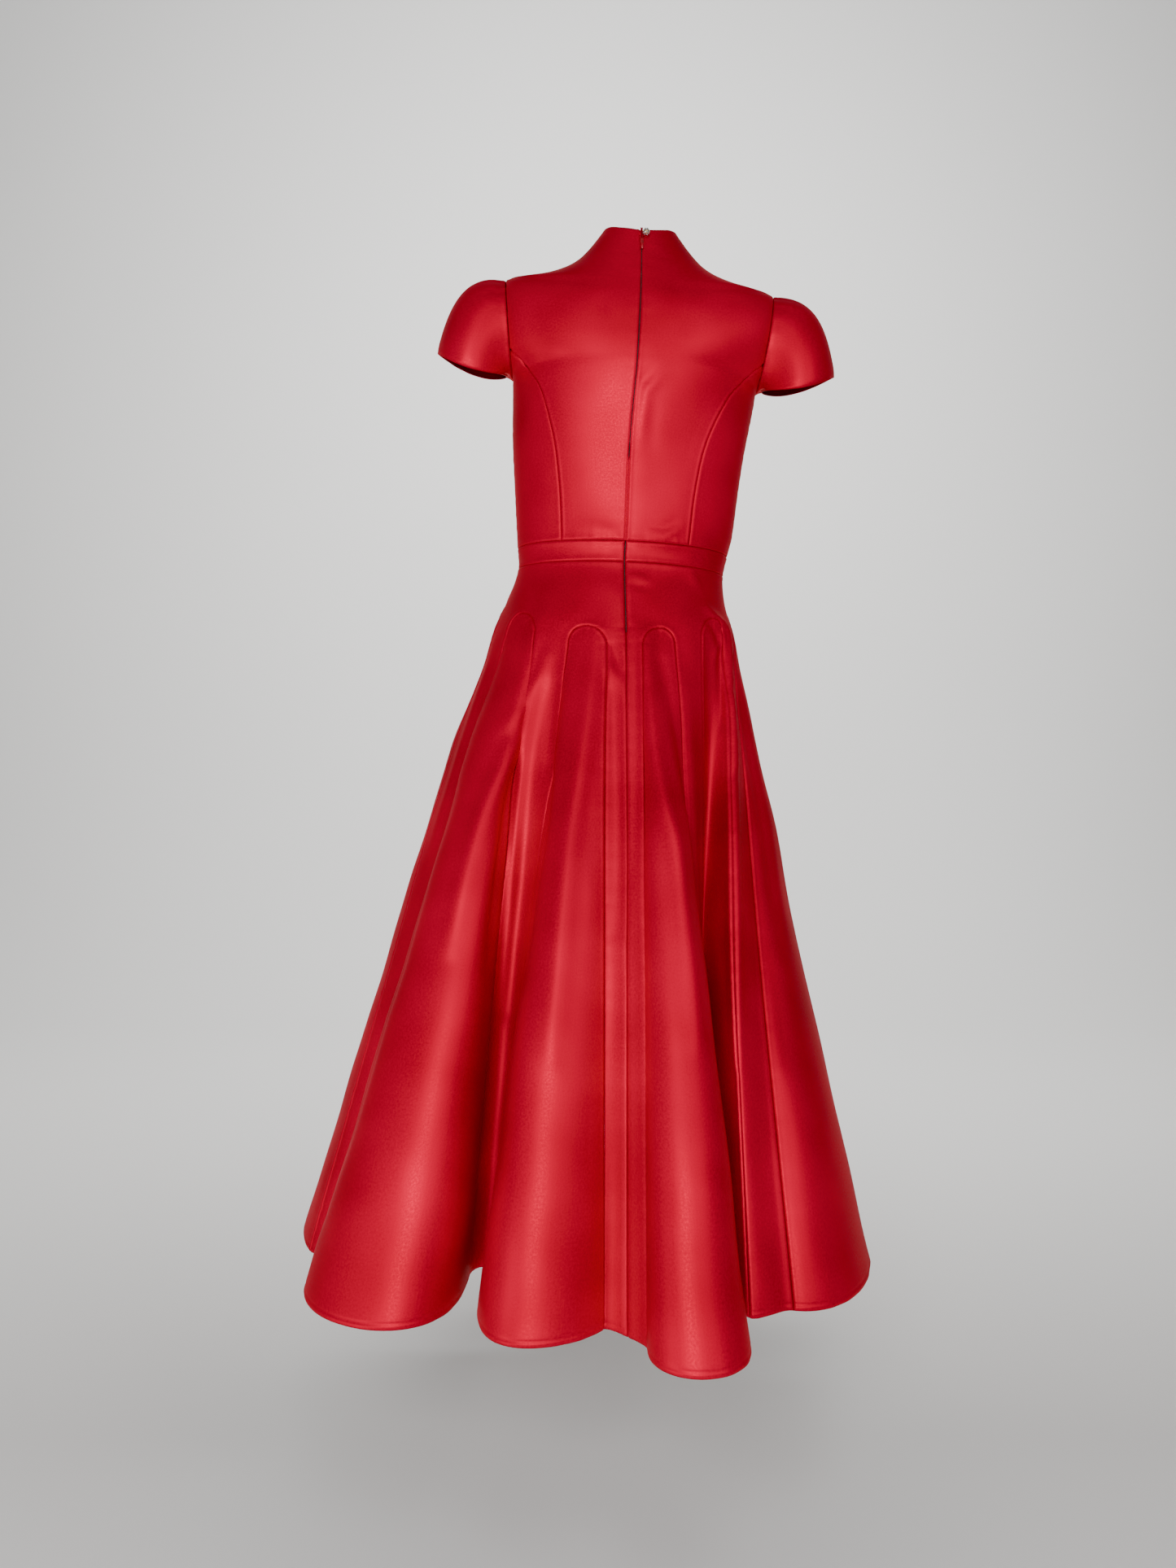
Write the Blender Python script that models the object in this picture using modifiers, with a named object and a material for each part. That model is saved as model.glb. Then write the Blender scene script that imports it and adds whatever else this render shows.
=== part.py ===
"""A red satin dress in its worn form: bodice with a funnel neck, cap sleeves, waistband and a godet skirt.

The dress is upright along +Z. Its back looks towards +Y and its own left side is +X. The origin is the
point between the shoulders where the dress is held. Heights in the tables are above the ground, and
HOLD_HEIGHT takes them to the origin. Every panel is a sheet laid on one shared surface and thickened
inwards along that surface's own normals, so that neighbouring pieces stay SEAM_GAP apart all through.
"""

import math
from collections import namedtuple

import bmesh
import bpy
from mathutils import Matrix, Vector

# Driving sizes in metres
HOLD_HEIGHT = 1.480
WALL = 0.0015
SEAM_GAP = 0.0003
WAIST_SEAM = 1.131
WAISTBAND_WIDTH = 0.0255
HEM_HEIGHT = 0.330
ZIP_SLIT = 0.0012
COLLAR_SLIT = 0.0030
BACK_OF_ZIP = 1.040

# Godets: ten round tops, evenly spaced round the hip
GODET_COUNT = 10
GODET_SPACING = 360.0 / GODET_COUNT
GODET_HALF_ANGLE = 9.0
GODET_TOP_RADIUS = 0.0225
GODET_TOP_AT_BACK = 1.044
GODET_TOP_RISE = 0.017
GODET_TOP_DROP = 0.00045
FOLD_GROWTH = 1.10
# Degrees by which equal shares of the girth draw together at the flat back and front of an oval
GIRTH_SHARE = 4.4

# Rows and columns of the sheets
BODICE_HEIGHTS = (1.374, 1.347, 1.315, 1.278, 1.240, 1.200)
YOKE_STEPS = (0.0, 0.36, 0.70)
ARC_DEGREES = (0.0, 30.0, 60.0, 90.0)
LENGTH_ROWS = 12
LENGTH_CROWDING = 1.25
FINGER_COLUMNS = 4
GODET_COLUMNS = 8
BACK_COLUMNS = 6
BACK_BAND_COLUMNS = 8
FRONT_BAND_COLUMNS = 16
SIDE_BACK_COLUMNS = 3
FRONT_COLUMNS = 16
SLEEVE_COLUMNS = 20
SLEEVE_ROWS = 6

# Steps over which a surface's direction is taken: degrees round the dress, and metres down it
FINE_TURN = 0.4
EDGE_TURN = 12.0
FINE_DROP = 0.004
SAME_POINT = 0.00002

# Armhole: an upright oval at the side of the bodice
ARMHOLE_CENTRE = 1.435
ARMHOLE_HALF_HEIGHT = 0.061
ARMHOLE_HALF_DEPTH = 0.052
SHOULDER_TIP = 0.1717
UNDERARM = 0.1575
ARMHOLE_HOLLOW = 1.25
SHOULDER_SEAM_BACK = 0.004

# Cap sleeve: the hem's middle and its reach aside, up and down, and how full the head is
SLEEVE_HEM_ASIDE = 0.211
SLEEVE_HEM_REACH = 0.047
SLEEVE_HEM_HALF_DEPTH = 0.062
SLEEVE_HEM_HEIGHT = 1.3895
SLEEVE_HEM_RISE = 0.0115
SLEEVE_FRONT_RISE = 0.0150
SLEEVE_HEM_SAG = 0.0090
SLEEVE_PUFF_OUT = 0.38
SLEEVE_PUFF_TOP = 0.08
SLEEVE_DROP = 0.34
SLEEVE_DROP_TOP = 0.11

# Zip head and button
BUTTON_DIAMETER = 0.0090
BUTTON_ASIDE = -0.0057
BUTTON_HEIGHT = 1.5445
LOOP_RADIUS = 0.0034
LOOP_CORD = 0.0011
LOOP_LEG = 0.0095
LOOP_LEGS_HALF_GAP = 0.0010
LOOP_OPENING = 40.0
SLIDER_SIZE = (0.0042, 0.0075, 0.0018)
SLIDER_HEIGHT = 1.5340
SLIDER_ASIDE = -0.0004
PULL_SIZE = (0.0032, 0.0150, 0.0009)
PULL_EYE = 0.0008
HINGE_LIFT = 0.0029
SLIDER_EDGE = 0.0005
PULL_EDGE = 0.0004
TAPE_HALF_WIDTH = 0.0120
TAPE_THICKNESS = 0.0010

# Above this height of its middle a back row ends on the armhole, below it on the princess seam
PRINCESS_TOP = 1.392
PRINCESS_SLANTS_ABOVE = 1.345
SIDE_BACK_TIP = 0.010

# A point of a sheet with the outward direction of the smooth surface there
Stitch = namedtuple("Stitch", "point outward")

Ring = namedtuple("Ring", "height left right behind front")
RINGS = (
    Ring(0.330, 0.393, 0.290, 0.385, 0.360),
    Ring(0.650, 0.299, 0.220, 0.270, 0.255),
    Ring(0.904, 0.2225, 0.173, 0.175, 0.165),
    Ring(1.000, 0.184, 0.154, 0.138, 0.130),
    Ring(1.050, 0.168, 0.145, 0.119, 0.114),
    Ring(1.090, 0.150, 0.133, 0.104, 0.103),
    Ring(1.131, 0.135, 0.130, 0.089, 0.096),
    Ring(1.157, 0.137, 0.134, 0.087, 0.096),
    Ring(1.200, 0.141, 0.142, 0.086, 0.104),
    Ring(1.234, 0.144, 0.145, 0.087, 0.112),
    Ring(1.285, 0.149, 0.149, 0.091, 0.121),
    Ring(1.330, 0.1535, 0.1535, 0.096, 0.1235),
    Ring(1.374, 0.1575, 0.1575, 0.0993, 0.1185),
)

Posture = namedtuple("Posture", "height aside tilt")
POSTURE = (
    Posture(0.330, 0.0205, 0.0),
    Posture(0.900, 0.0205, 0.0),
    Posture(1.030, 0.0205, 1.5),
    Posture(1.130, 0.0215, 2.3),
    Posture(1.160, 0.0200, 2.5),
    Posture(1.285, 0.0145, 3.1),
    Posture(1.370, 0.0065, 3.4),
    Posture(1.500, 0.0000, 3.4),
    Posture(1.600, -0.0010, 3.4),
)

# Bodice above the underarm: a row ends on the armhole (turn from its top, degrees) or on the shoulder seam
ArmRow = namedtuple("ArmRow", "turn back_height behind front_height front")
ARM_ROWS = (
    ArmRow(155.0, 1.3800, 0.0994, 1.380, 0.1175),
    ArmRow(141.0, 1.3875, 0.0994, 1.387, 0.1162),
    ArmRow(128.0, 1.3970, 0.0993, 1.395, 0.1143),
    ArmRow(112.0, 1.4090, 0.0988, 1.405, 0.1115),
    ArmRow(90.0, 1.4260, 0.0973, 1.419, 0.1065),
    ArmRow(65.0, 1.4440, 0.0947, 1.434, 0.1000),
    ArmRow(40.0, 1.4590, 0.0913, 1.447, 0.0935),
    ArmRow(20.0, 1.4690, 0.0882, 1.457, 0.0880),
    ArmRow(0.0, 1.4780, 0.0850, 1.466, 0.0820),
)
NeckRow = namedtuple("NeckRow", "aside seam_height back_height behind front_height front")
NECK_ROWS = (
    NeckRow(0.1350, 1.5010, 1.490, 0.0808, 1.477, 0.0745),
    NeckRow(0.1056, 1.5110, 1.502, 0.0762, 1.488, 0.0675),
    NeckRow(0.0850, 1.5235, 1.514, 0.0714, 1.499, 0.0605),
    NeckRow(0.0700, 1.5385, 1.526, 0.0665, 1.511, 0.0540),
    NeckRow(0.0580, 1.5535, 1.539, 0.0618, 1.524, 0.0490),
    NeckRow(0.0465, 1.5700, 1.552, 0.0580, 1.537, 0.0455),
)

Princess = namedtuple("Princess", "height aside")
PRINCESS_SEAM = (
    Princess(1.1560, 0.0790),
    Princess(1.2060, 0.0825),
    Princess(1.2400, 0.0865),
    Princess(1.2750, 0.0925),
    Princess(1.3100, 0.1030),
    Princess(1.3470, 0.1185),
    Princess(1.3710, 0.1345),
    Princess(1.3800, 0.1425),
    Princess(1.3875, 0.1510),
)

# Hem of each godet in plan: a cubic curve from one seam to the next, in metres aside (+X) and behind (+Y).
# The dip is how far the handles of the finger after it reach in, towards the middle of the skirt.
Godet = namedtuple("Godet", "name start first_handle second_handle end dip")
GODETS = (
    Godet("back_inner_left", (0.050, 0.391), (0.080, 0.437), (0.212, 0.482), (0.170, 0.278), 0.045),
    Godet("back_outer_left", (0.193, 0.278), (0.184, 0.490), (0.423, 0.372), (0.352, 0.235), 0.020),
    Godet("side_left", (0.381, 0.200), (0.411, 0.150), (0.417, 0.030), (0.390, -0.035), 0.028),
    Godet("front_outer_left", (0.375, -0.100), (0.436, -0.150), (0.318, -0.330), (0.245, -0.265), 0.024),
    Godet("front_inner_left", (0.200, -0.300), (0.245, -0.385), (0.045, -0.465), (0.015, -0.370), 0.026),
    Godet("front_inner_right", (-0.045, -0.360), (-0.080, -0.445), (-0.260, -0.330), (-0.200, -0.250), 0.028),
    Godet("front_outer_right", (-0.230, -0.190), (-0.272, -0.170), (-0.284, 0.010), (-0.248, 0.045), 0.026),
    Godet("side_right", (-0.243, 0.120), (-0.277, 0.230), (-0.208, 0.368), (-0.140, 0.350), 0.014),
    Godet("back_outer_right", (-0.093, 0.366), (-0.062, 0.335), (-0.036, 0.160), (-0.052, 0.325), 0.022),
    Godet("back_inner_right", (-0.075, 0.385), (-0.125, 0.500), (0.015, 0.522), (0.011, 0.431), 0.006),
)


def column_at(table, column, height):
    """Value of one column of a table at a height, on a smooth curve through its rows."""
    rows = sorted(table, key=lambda row: row.height)
    last = len(rows) - 1
    if height <= rows[0].height:
        return getattr(rows[0], column)
    if height >= rows[last].height:
        return getattr(rows[last], column)
    upper = next(index for index, row in enumerate(rows) if row.height > height)
    points = [rows[max(0, upper - 2)], rows[upper - 1], rows[upper], rows[min(last, upper + 1)]]
    before, low, high, after = [(row.height, getattr(row, column)) for row in points]
    span = high[0] - low[0]
    step = (height - low[0]) / span
    leave = span * (high[1] - before[1]) / (high[0] - before[0])
    arrive = span * (after[1] - low[1]) / (after[0] - low[0])
    square, cube = step * step, step ** 3
    return (
        (2 * cube - 3 * square + 1) * low[1]
        + (cube - 2 * square + step) * leave
        + (3 * square - 2 * cube) * high[1]
        + (cube - square) * arrive
    )


def stand(aside, behind, height):
    """World point of a point given beside the dress's own centre line, after its lean and tilt."""
    centre = column_at(POSTURE, "aside", height)
    tilt = math.radians(column_at(POSTURE, "tilt", height))
    x = centre + aside * math.cos(tilt)
    return Vector((x, behind, height - HOLD_HEIGHT + aside * math.sin(tilt)))


def ring_point(degrees, height):
    """Point of the smooth body ring at a height. Zero degrees is the centre back and 90 the left side."""
    turn = math.radians(degrees - GIRTH_SHARE * math.sin(math.radians(2 * degrees)))
    aside, behind = math.sin(turn), math.cos(turn)
    width = column_at(RINGS, "left" if aside > 0 else "right", height)
    depth = column_at(RINGS, "behind" if behind > 0 else "front", height)
    return stand(aside * width, behind * depth, height)


def cubic(start, first, second, end, part):
    """Point at a part of the way along a cubic curve in plan."""
    rest = 1 - part
    weights = (rest ** 3, 3 * rest * rest * part, 3 * rest * part * part, part ** 3)
    corners = (start, first, second, end)
    return tuple(sum(w * corner[axis] for w, corner in zip(weights, corners)) for axis in (0, 1))


def carried_on(handle, corner, length):
    """Handle on the far side of a corner, so that the curve goes on smoothly through it."""
    away = Vector(corner) - Vector(handle)
    return tuple(Vector(corner) + away.normalized() * length)


def finger_hem(index, part):
    """Hem point of the finger between a godet and the next one round the hem."""
    before, after = GODETS[index], GODETS[(index + 1) % GODET_COUNT]
    first = carried_on(before.second_handle, before.end, before.dip)
    second = carried_on(after.first_handle, after.start, before.dip)
    return cubic(before.end, first, second, after.start, part)


def hem_point(degrees):
    """Point of the folded hem in plan, at the turn that its thread has at the waist."""
    turn = (degrees - GODET_SPACING / 2 + GODET_HALF_ANGLE) % 360.0
    index = int(turn // GODET_SPACING)
    turn -= index * GODET_SPACING
    if turn <= 2 * GODET_HALF_ANGLE:
        godet = GODETS[index]
        part = turn / (2 * GODET_HALF_ANGLE)
        return cubic(godet.start, godet.first_handle, godet.second_handle, godet.end, part)
    finger = GODET_SPACING - 2 * GODET_HALF_ANGLE
    return finger_hem(index, (turn - 2 * GODET_HALF_ANGLE) / finger)


def godet_top_height(degrees):
    """Height of the yoke line that the godets' round tops touch, lowest at the centre back and front."""
    return GODET_TOP_AT_BACK + GODET_TOP_RISE * (1 - math.cos(math.radians(2 * degrees)))


def skirt_point(degrees, height):
    """Point of the skirt: the smooth ring, and below the yoke line its folds, which grow to the hem's."""
    point = ring_point(degrees, height)
    top = godet_top_height(degrees)
    if height >= top:
        return point
    growth = ((top - height) / (top - HEM_HEIGHT)) ** FOLD_GROWTH
    smooth = ring_point(degrees, HEM_HEIGHT)
    aside, behind = hem_point(degrees)
    return point + Vector((aside - smooth.x, behind - smooth.y, 0.0)) * growth


def armhole_point(turn, side, face):
    """Armhole edge at a turn from its top. side is 1 for left and -1 for right, face 1 for back."""
    angle = math.radians(turn)
    height = ARMHOLE_CENTRE + ARMHOLE_HALF_HEIGHT * math.cos(angle)
    aside = UNDERARM + (SHOULDER_TIP - UNDERARM) * (1 + math.cos(angle)) / 2
    return side * aside, face * ARMHOLE_HALF_DEPTH * math.sin(angle), height


def bodice_rows(face):
    """Rows of the bodice from the collar down, as (centre, edge, hollow) with points left of the centre."""
    back = face > 0
    rows = []
    for row in reversed(NECK_ROWS):
        height = row.back_height if back else row.front_height
        depth = row.behind if back else -row.front
        rows.append(((depth, height), (row.aside, SHOULDER_SEAM_BACK, row.seam_height), 1.0))
    for row in reversed(ARM_ROWS):
        height = row.back_height if back else row.front_height
        depth = row.behind if back else -row.front
        hollow = ARMHOLE_HOLLOW if row.turn else 1.0
        rows.append(((depth, height), armhole_point(row.turn, 1, face), hollow))
    foot = WAIST_SEAM + WAISTBAND_WIDTH + SEAM_GAP
    for height in (*BODICE_HEIGHTS, foot):
        depth = column_at(RINGS, "behind", height) if back else -column_at(RINGS, "front", height)
        rows.append(((depth, height), (column_at(RINGS, "left", height), 0.0, height), 1.0))
    return rows


def bodice_point(row, degrees):
    """Point of a bodice row, from the centre at 0 degrees to its edge at 90 or -90."""
    (depth, centre_height), (edge_aside, edge_depth, edge_height), hollow = row
    turn = math.radians(degrees)
    across = math.sin(turn)
    aside = edge_aside * across
    inward = max(0.0, math.cos(turn)) ** hollow
    behind = edge_depth + (depth - edge_depth) * inward
    height = centre_height + (edge_height - centre_height) * across * across
    return stand(aside, behind, height)


def stitch(place, across, along, across_step, along_step, face=1.0):
    """Stitch on the surface place(across, along), whose across runs to the left and along runs down."""
    aside = place(across + across_step, along) - place(across - across_step, along)
    down = place(across, along + along_step) - place(across, along - along_step)
    return Stitch(place(across, along), aside.cross(down).normalized() * face)


def bodice_stitch(rows, index, degrees, face):
    """Stitch of a bodice row, with its outward direction from the rows above and below."""
    point = bodice_point(rows[index], degrees)
    on_armhole = rows[index][2] > 1.0
    step = (EDGE_TURN if on_armhole else FINE_TURN) * (-1 if degrees > 0 else 1)
    aside = (bodice_point(rows[index], degrees + step) - point) / step
    above, below = rows[max(0, index - 1)], rows[min(len(rows) - 1, index + 1)]
    down = bodice_point(below, degrees) - bodice_point(above, degrees)
    return Stitch(point, aside.cross(down).normalized() * face)


def skirt_stitch(degrees, height):
    """Stitch of the skirt."""
    return stitch(lambda turn, drop: skirt_point(turn, height - drop), degrees, 0.0, FINE_TURN, FINE_DROP)


def ring_stitch(degrees, height):
    """Stitch of the smooth body ring."""
    return stitch(lambda turn, drop: ring_point(turn, height - drop), degrees, 0.0, FINE_TURN, FINE_DROP)


def princess_degrees(row):
    """Turn at which the princess seam crosses a bodice row."""
    (_, height), (edge_aside, _, _), _ = row
    aside = column_at(PRINCESS_SEAM, "aside", height)
    return math.degrees(math.asin(min(1.0, aside / edge_aside)))


def spread(start, end, count):
    """Evenly spaced values from start to end, both included."""
    return [start + (end - start) * step / count for step in range(count + 1)]


def drawn_in(points, start_gap, end_gap):
    """The row of stitches with its two ends moved inwards along it."""
    points = list(points)
    for end, inner, gap in ((0, 1, start_gap), (-1, -2, end_gap)):
        way = points[inner].point - points[end].point
        if way.length > 2 * gap:
            points[end] = moved(points[end], way.normalized() * gap)
    return points


def moved(place, way):
    """Stitch moved by a vector."""
    return Stitch(place.point + way, place.outward)


def lay_grid(mesh, rows, outward):
    """Add a sheet of quads to a bmesh, with a row of stitches on each row of its grid."""
    across, down = len(rows[0]) - 1, len(rows) - 1
    made = bmesh.ops.create_grid(mesh, x_segments=across, y_segments=down, size=1.0)
    for vertex in made["verts"]:
        column = round((vertex.co.x + 1) / 2 * across)
        row = round((1 - vertex.co.y) / 2 * down)
        vertex.co = rows[row][column].point
        vertex[outward] = rows[row][column].outward


def satin(name):
    """Principled material of the red satin, one for each piece."""
    return painted(name, (0.60, 0.0, 0.012), 0.42, 0.0)


def painted(name, colour, roughness, metallic):
    """Principled material with one colour."""
    material = bpy.data.materials.new(name)
    material.use_nodes = True
    shader = material.node_tree.nodes["Principled BSDF"]
    shader.inputs["Base Color"].default_value = (*colour, 1.0)
    shader.inputs["Roughness"].default_value = roughness
    shader.inputs["Metallic"].default_value = metallic
    return material


def add_object(name, mesh, material):
    """Put a mesh into the dress's collection as a named, smooth-shaded object."""
    mesh.materials.append(material)
    mesh.shade_smooth()
    piece = bpy.data.objects.new(name, mesh)
    bpy.data.collections["dress"].objects.link(piece)
    return piece


def sew(name, sheets, thickness=WALL):
    """Join sheets along the edges that they share, and extrude them inwards to the cloth's thickness."""
    mesh = bmesh.new()
    outward = mesh.verts.layers.float_vector.new("outward")
    for rows in sheets:
        lay_grid(mesh, rows, outward)
    bmesh.ops.remove_doubles(mesh, verts=mesh.verts, dist=SAME_POINT)
    made = bmesh.ops.extrude_face_region(mesh, geom=mesh.faces[:], use_keep_orig=True)
    for inner in [item for item in made["geom"] if isinstance(item, bmesh.types.BMVert)]:
        inner.co -= inner[outward] * thickness
    bmesh.ops.recalc_face_normals(mesh, faces=mesh.faces)
    data = bpy.data.meshes.new(name)
    mesh.to_mesh(data)
    mesh.free()
    return add_object(name, data, satin(name))


def slit_gap(height):
    """Half of the gap between the two back edges: open at the zip, a plain seam below it."""
    if height < BACK_OF_ZIP:
        return SEAM_GAP / 2
    if height > SLIDER_HEIGHT:
        return COLLAR_SLIT / 2
    return ZIP_SLIT / 2


def bodice_back(side):
    """Back panel from the zip to the princess seam, armhole and shoulder seam."""
    sheet = []
    rows = bodice_rows(1)
    for index, row in enumerate(rows):
        height = row[0][1]
        edge = side * (princess_degrees(row) if height < PRINCESS_TOP else 90.0)
        points = [bodice_stitch(rows, index, turn, 1) for turn in spread(0.0, edge, BACK_COLUMNS)]
        points = drawn_in(points, slit_gap(height), princess_gap(height))
        sheet.append(points if side > 0 else points[::-1])
    return sheet


def princess_gap(height):
    """Half of the princess seam's gap along a row, wider where the seam slants to the armhole."""
    return SEAM_GAP if height > PRINCESS_SLANTS_ABOVE else SEAM_GAP / 2


def bodice_side_back(side):
    """Side back panel from the princess seam to the side seam, ending in a point at the armhole."""
    rows = bodice_rows(1)
    sheet = []
    for index, row in enumerate(rows):
        height = row[0][1]
        if height > PRINCESS_TOP + SIDE_BACK_TIP:
            continue
        turns = spread(princess_degrees(row) if height < PRINCESS_TOP else 90.0, 90.0, SIDE_BACK_COLUMNS)
        points = [bodice_stitch(rows, index, side * turn, 1) for turn in turns]
        points = drawn_in(points, princess_gap(height), SEAM_GAP / 2)
        sheet.append(points if side > 0 else points[::-1])
    return sheet


def bodice_front():
    """Front in one panel, from side seam to side seam."""
    sheet = []
    rows = bodice_rows(-1)
    for index in range(len(rows)):
        points = [bodice_stitch(rows, index, turn, -1) for turn in spread(90.0, -90.0, FRONT_COLUMNS)]
        sheet.append(drawn_in(points, SEAM_GAP / 2, SEAM_GAP / 2))
    return sheet


def waistband(start, end, columns, start_gap, end_gap):
    """Part of the waistband between two turns."""
    top = WAIST_SEAM + WAISTBAND_WIDTH
    bottom = WAIST_SEAM
    sheet = []
    for height in spread(top, bottom, 2):
        points = [ring_stitch(turn, height) for turn in spread(start, end, columns)]
        sheet.append(drawn_in(points, start_gap, end_gap))
    return sheet


def row_heights(degrees):
    """Heights of the skirt's rows at a turn: yoke rows, the godets' round tops, then the long rows."""
    start = WAIST_SEAM - SEAM_GAP
    top = godet_top_height(degrees)
    heights = [start + (top - start) * step for step in YOKE_STEPS]
    arc = [top - GODET_TOP_RADIUS * (1 - math.cos(math.radians(turn))) for turn in ARC_DEGREES]
    shares = [share ** LENGTH_CROWDING for share in spread(0.0, 1.0, LENGTH_ROWS)]
    return heights + arc + [arc[-1] + (HEM_HEIGHT - arc[-1]) * share for share in shares[1:]]


def row_half_angles():
    """Half of a godet's width in degrees at each row of the skirt."""
    arc = [GODET_HALF_ANGLE * math.sin(math.radians(turn)) for turn in ARC_DEGREES]
    return [0.0] * len(YOKE_STEPS) + arc + [GODET_HALF_ANGLE] * LENGTH_ROWS


def skirt_cell(start, end, columns, godet_before=True, godet_after=True):
    """Yoke and finger between two turns, each the middle of a godet or a plain seam."""
    sheet = []
    for row, half in enumerate(row_half_angles()):
        left_in = half if godet_before else 0.0
        right_in = half if godet_after else 0.0
        turns = spread(start + left_in, end - right_in, columns)
        points = [skirt_stitch(turn, row_heights(turn)[row]) for turn in turns]
        height = row_heights(start)[row]
        seam = SEAM_GAP / 2
        start_gap = (seam if left_in > 0 else 0.0) if godet_before else slit_gap(height)
        end_gap = (seam if right_in > 0 else 0.0) if godet_after else slit_gap(height)
        sheet.append(drawn_in(points, start_gap, end_gap))
    return sheet


def godet_sheet(index):
    """Godet between two fingers, with a round top."""
    middle = (index + 0.5) * GODET_SPACING
    first = len(YOKE_STEPS)
    sheet = []
    for row, half in list(enumerate(row_half_angles()))[first:]:
        turns = spread(middle - half, middle + half, GODET_COLUMNS)
        points = [skirt_stitch(turn, row_heights(turn)[row]) for turn in turns]
        points = drawn_in(points, SEAM_GAP / 2, SEAM_GAP / 2)
        if row == first:
            points = [moved(point, Vector((0.0, 0.0, -GODET_TOP_DROP))) for point in points]
        sheet.append(points)
    return sheet


def sleeve_hem(up, back):
    """Hem of the cap sleeve beside the armhole, where up and back run from -1 to 1 round the arm."""
    lift = SLEEVE_HEM_RISE * up - SLEEVE_FRONT_RISE * back - SLEEVE_HEM_SAG * back * back
    aside = SLEEVE_HEM_ASIDE + SLEEVE_HEM_REACH * up
    return Vector((aside, SLEEVE_HEM_HALF_DEPTH * back, SLEEVE_HEM_HEIGHT + lift))


def sleeve_point(side, turn, part):
    """Point of a cap sleeve at a turn from its top, from the armhole at 0 to the hem at 1."""
    angle = math.radians(turn)
    up, back = math.cos(angle), math.sin(angle)
    aside, behind, height = armhole_point(turn, 1, 1)
    start = Vector((aside + SEAM_GAP, behind, height))
    hem = sleeve_hem(up, back)
    reach = (hem - start).length
    outward = Vector((1.0, 0.30 * back, 0.12 * up)).normalized()
    rise = Vector((-0.22 * up, 0.10 * back, 1.0)).normalized()
    first = start + outward * reach * (SLEEVE_PUFF_OUT + SLEEVE_PUFF_TOP * max(0.0, up))
    second = hem + rise * reach * (SLEEVE_DROP + SLEEVE_DROP_TOP * up)
    rest = 1 - part
    point = start * rest ** 3 + first * 3 * rest * rest * part
    point += second * 3 * rest * part * part + hem * part ** 3
    return stand(side * point.x, point.y, point.z)


def sleeve_sheet(side):
    """Cap sleeve from the armhole to its hem, long over the shoulder and a narrow strip under the arm."""
    def place(turn, part):
        return sleeve_point(side, turn, part)
    sheet = []
    for part in spread(0.0, 1.0, SLEEVE_ROWS):
        turns = spread(0.0, 360.0, SLEEVE_COLUMNS)
        sheet.append([stitch(place, turn, part, 2.0, 0.02, -side) for turn in turns])
    return sheet


def back_chord(row_left, row_right):
    """Right, middle and left points of the zip tape on the flat facets of the two back panels."""
    middle = (row_left[0].point + row_right[-1].point) / 2
    left = middle + (row_left[1].point - middle).normalized() * TAPE_HALF_WIDTH
    right = middle + (row_right[-2].point - middle).normalized() * TAPE_HALF_WIDTH
    return [left, middle, right]


def zip_tape_sheet(back, band, skirt):
    """Tape with its closed coil behind the slit, from below the collar to the foot of the zip."""
    pairs = list(zip(*back))[1:] + list(zip(*band))[1:] + list(zip(*skirt))[1:5]
    chords = [back_chord(left, right) for left, right in pairs]
    last = len(chords) - 1
    sheet = []
    for index, chord in enumerate(chords):
        down = chords[min(last, index + 1)][1] - chords[max(0, index - 1)][1]
        outward = Vector((0.0, -down.z, down.y)).normalized()
        drop = outward * (WALL + 2 * SEAM_GAP)
        sheet.append([Stitch(point - drop, outward) for point in chord])
    return sheet


def collar_frame(aside, height):
    """Point on the flat facet of the collar's back at a height, with its downward and outward directions."""
    high = next(row for row in NECK_ROWS if row.back_height > height)
    low = NECK_ROWS[NECK_ROWS.index(high) - 1]
    slope = (low.behind - high.behind) / (high.back_height - low.back_height)
    behind = high.behind + (high.back_height - height) * slope
    point = stand(aside, behind, height)
    down = Vector((0.0, slope, -1.0)).normalized()
    outward = Vector((0.0, 1.0, slope)).normalized()
    return point, down, outward


def oriented(piece, origin, down, outward):
    """Place an object with its Y along the collar's downward line and its Z outwards."""
    piece.location = origin
    turned = Matrix((down.cross(outward), down, outward)).transposed()
    piece.rotation_euler = turned.to_euler()


def rounded_block(name, size, bevel, centre, material):
    """Box with rounded edges, its mesh moved by centre from the object's origin."""
    mesh = bmesh.new()
    made = bmesh.ops.create_cube(mesh, size=1.0)
    bmesh.ops.scale(mesh, vec=Vector(size), verts=made["verts"])
    bmesh.ops.translate(mesh, vec=Vector(centre), verts=made["verts"])
    data = bpy.data.meshes.new(name)
    mesh.to_mesh(data)
    mesh.free()
    piece = add_object(name, data, material)
    edges = piece.modifiers.new("rounded edges", "BEVEL")
    edges.width = bevel
    edges.segments = 2
    return piece


def build_bodice():
    """Back, side back and front panels of the bodice, each with its part of the collar."""
    back_left, back_right = bodice_back(1), bodice_back(-1)
    sew("bodice_back_left", [back_left])
    sew("bodice_back_right", [back_right])
    sew("bodice_side_back_left", [bodice_side_back(1)])
    sew("bodice_side_back_right", [bodice_side_back(-1)])
    sew("bodice_front", [bodice_front()])
    return back_left, back_right


def build_sleeves():
    """Two cap sleeves."""
    sew("sleeve_left", [sleeve_sheet(1)])
    sew("sleeve_right", [sleeve_sheet(-1)])


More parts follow.
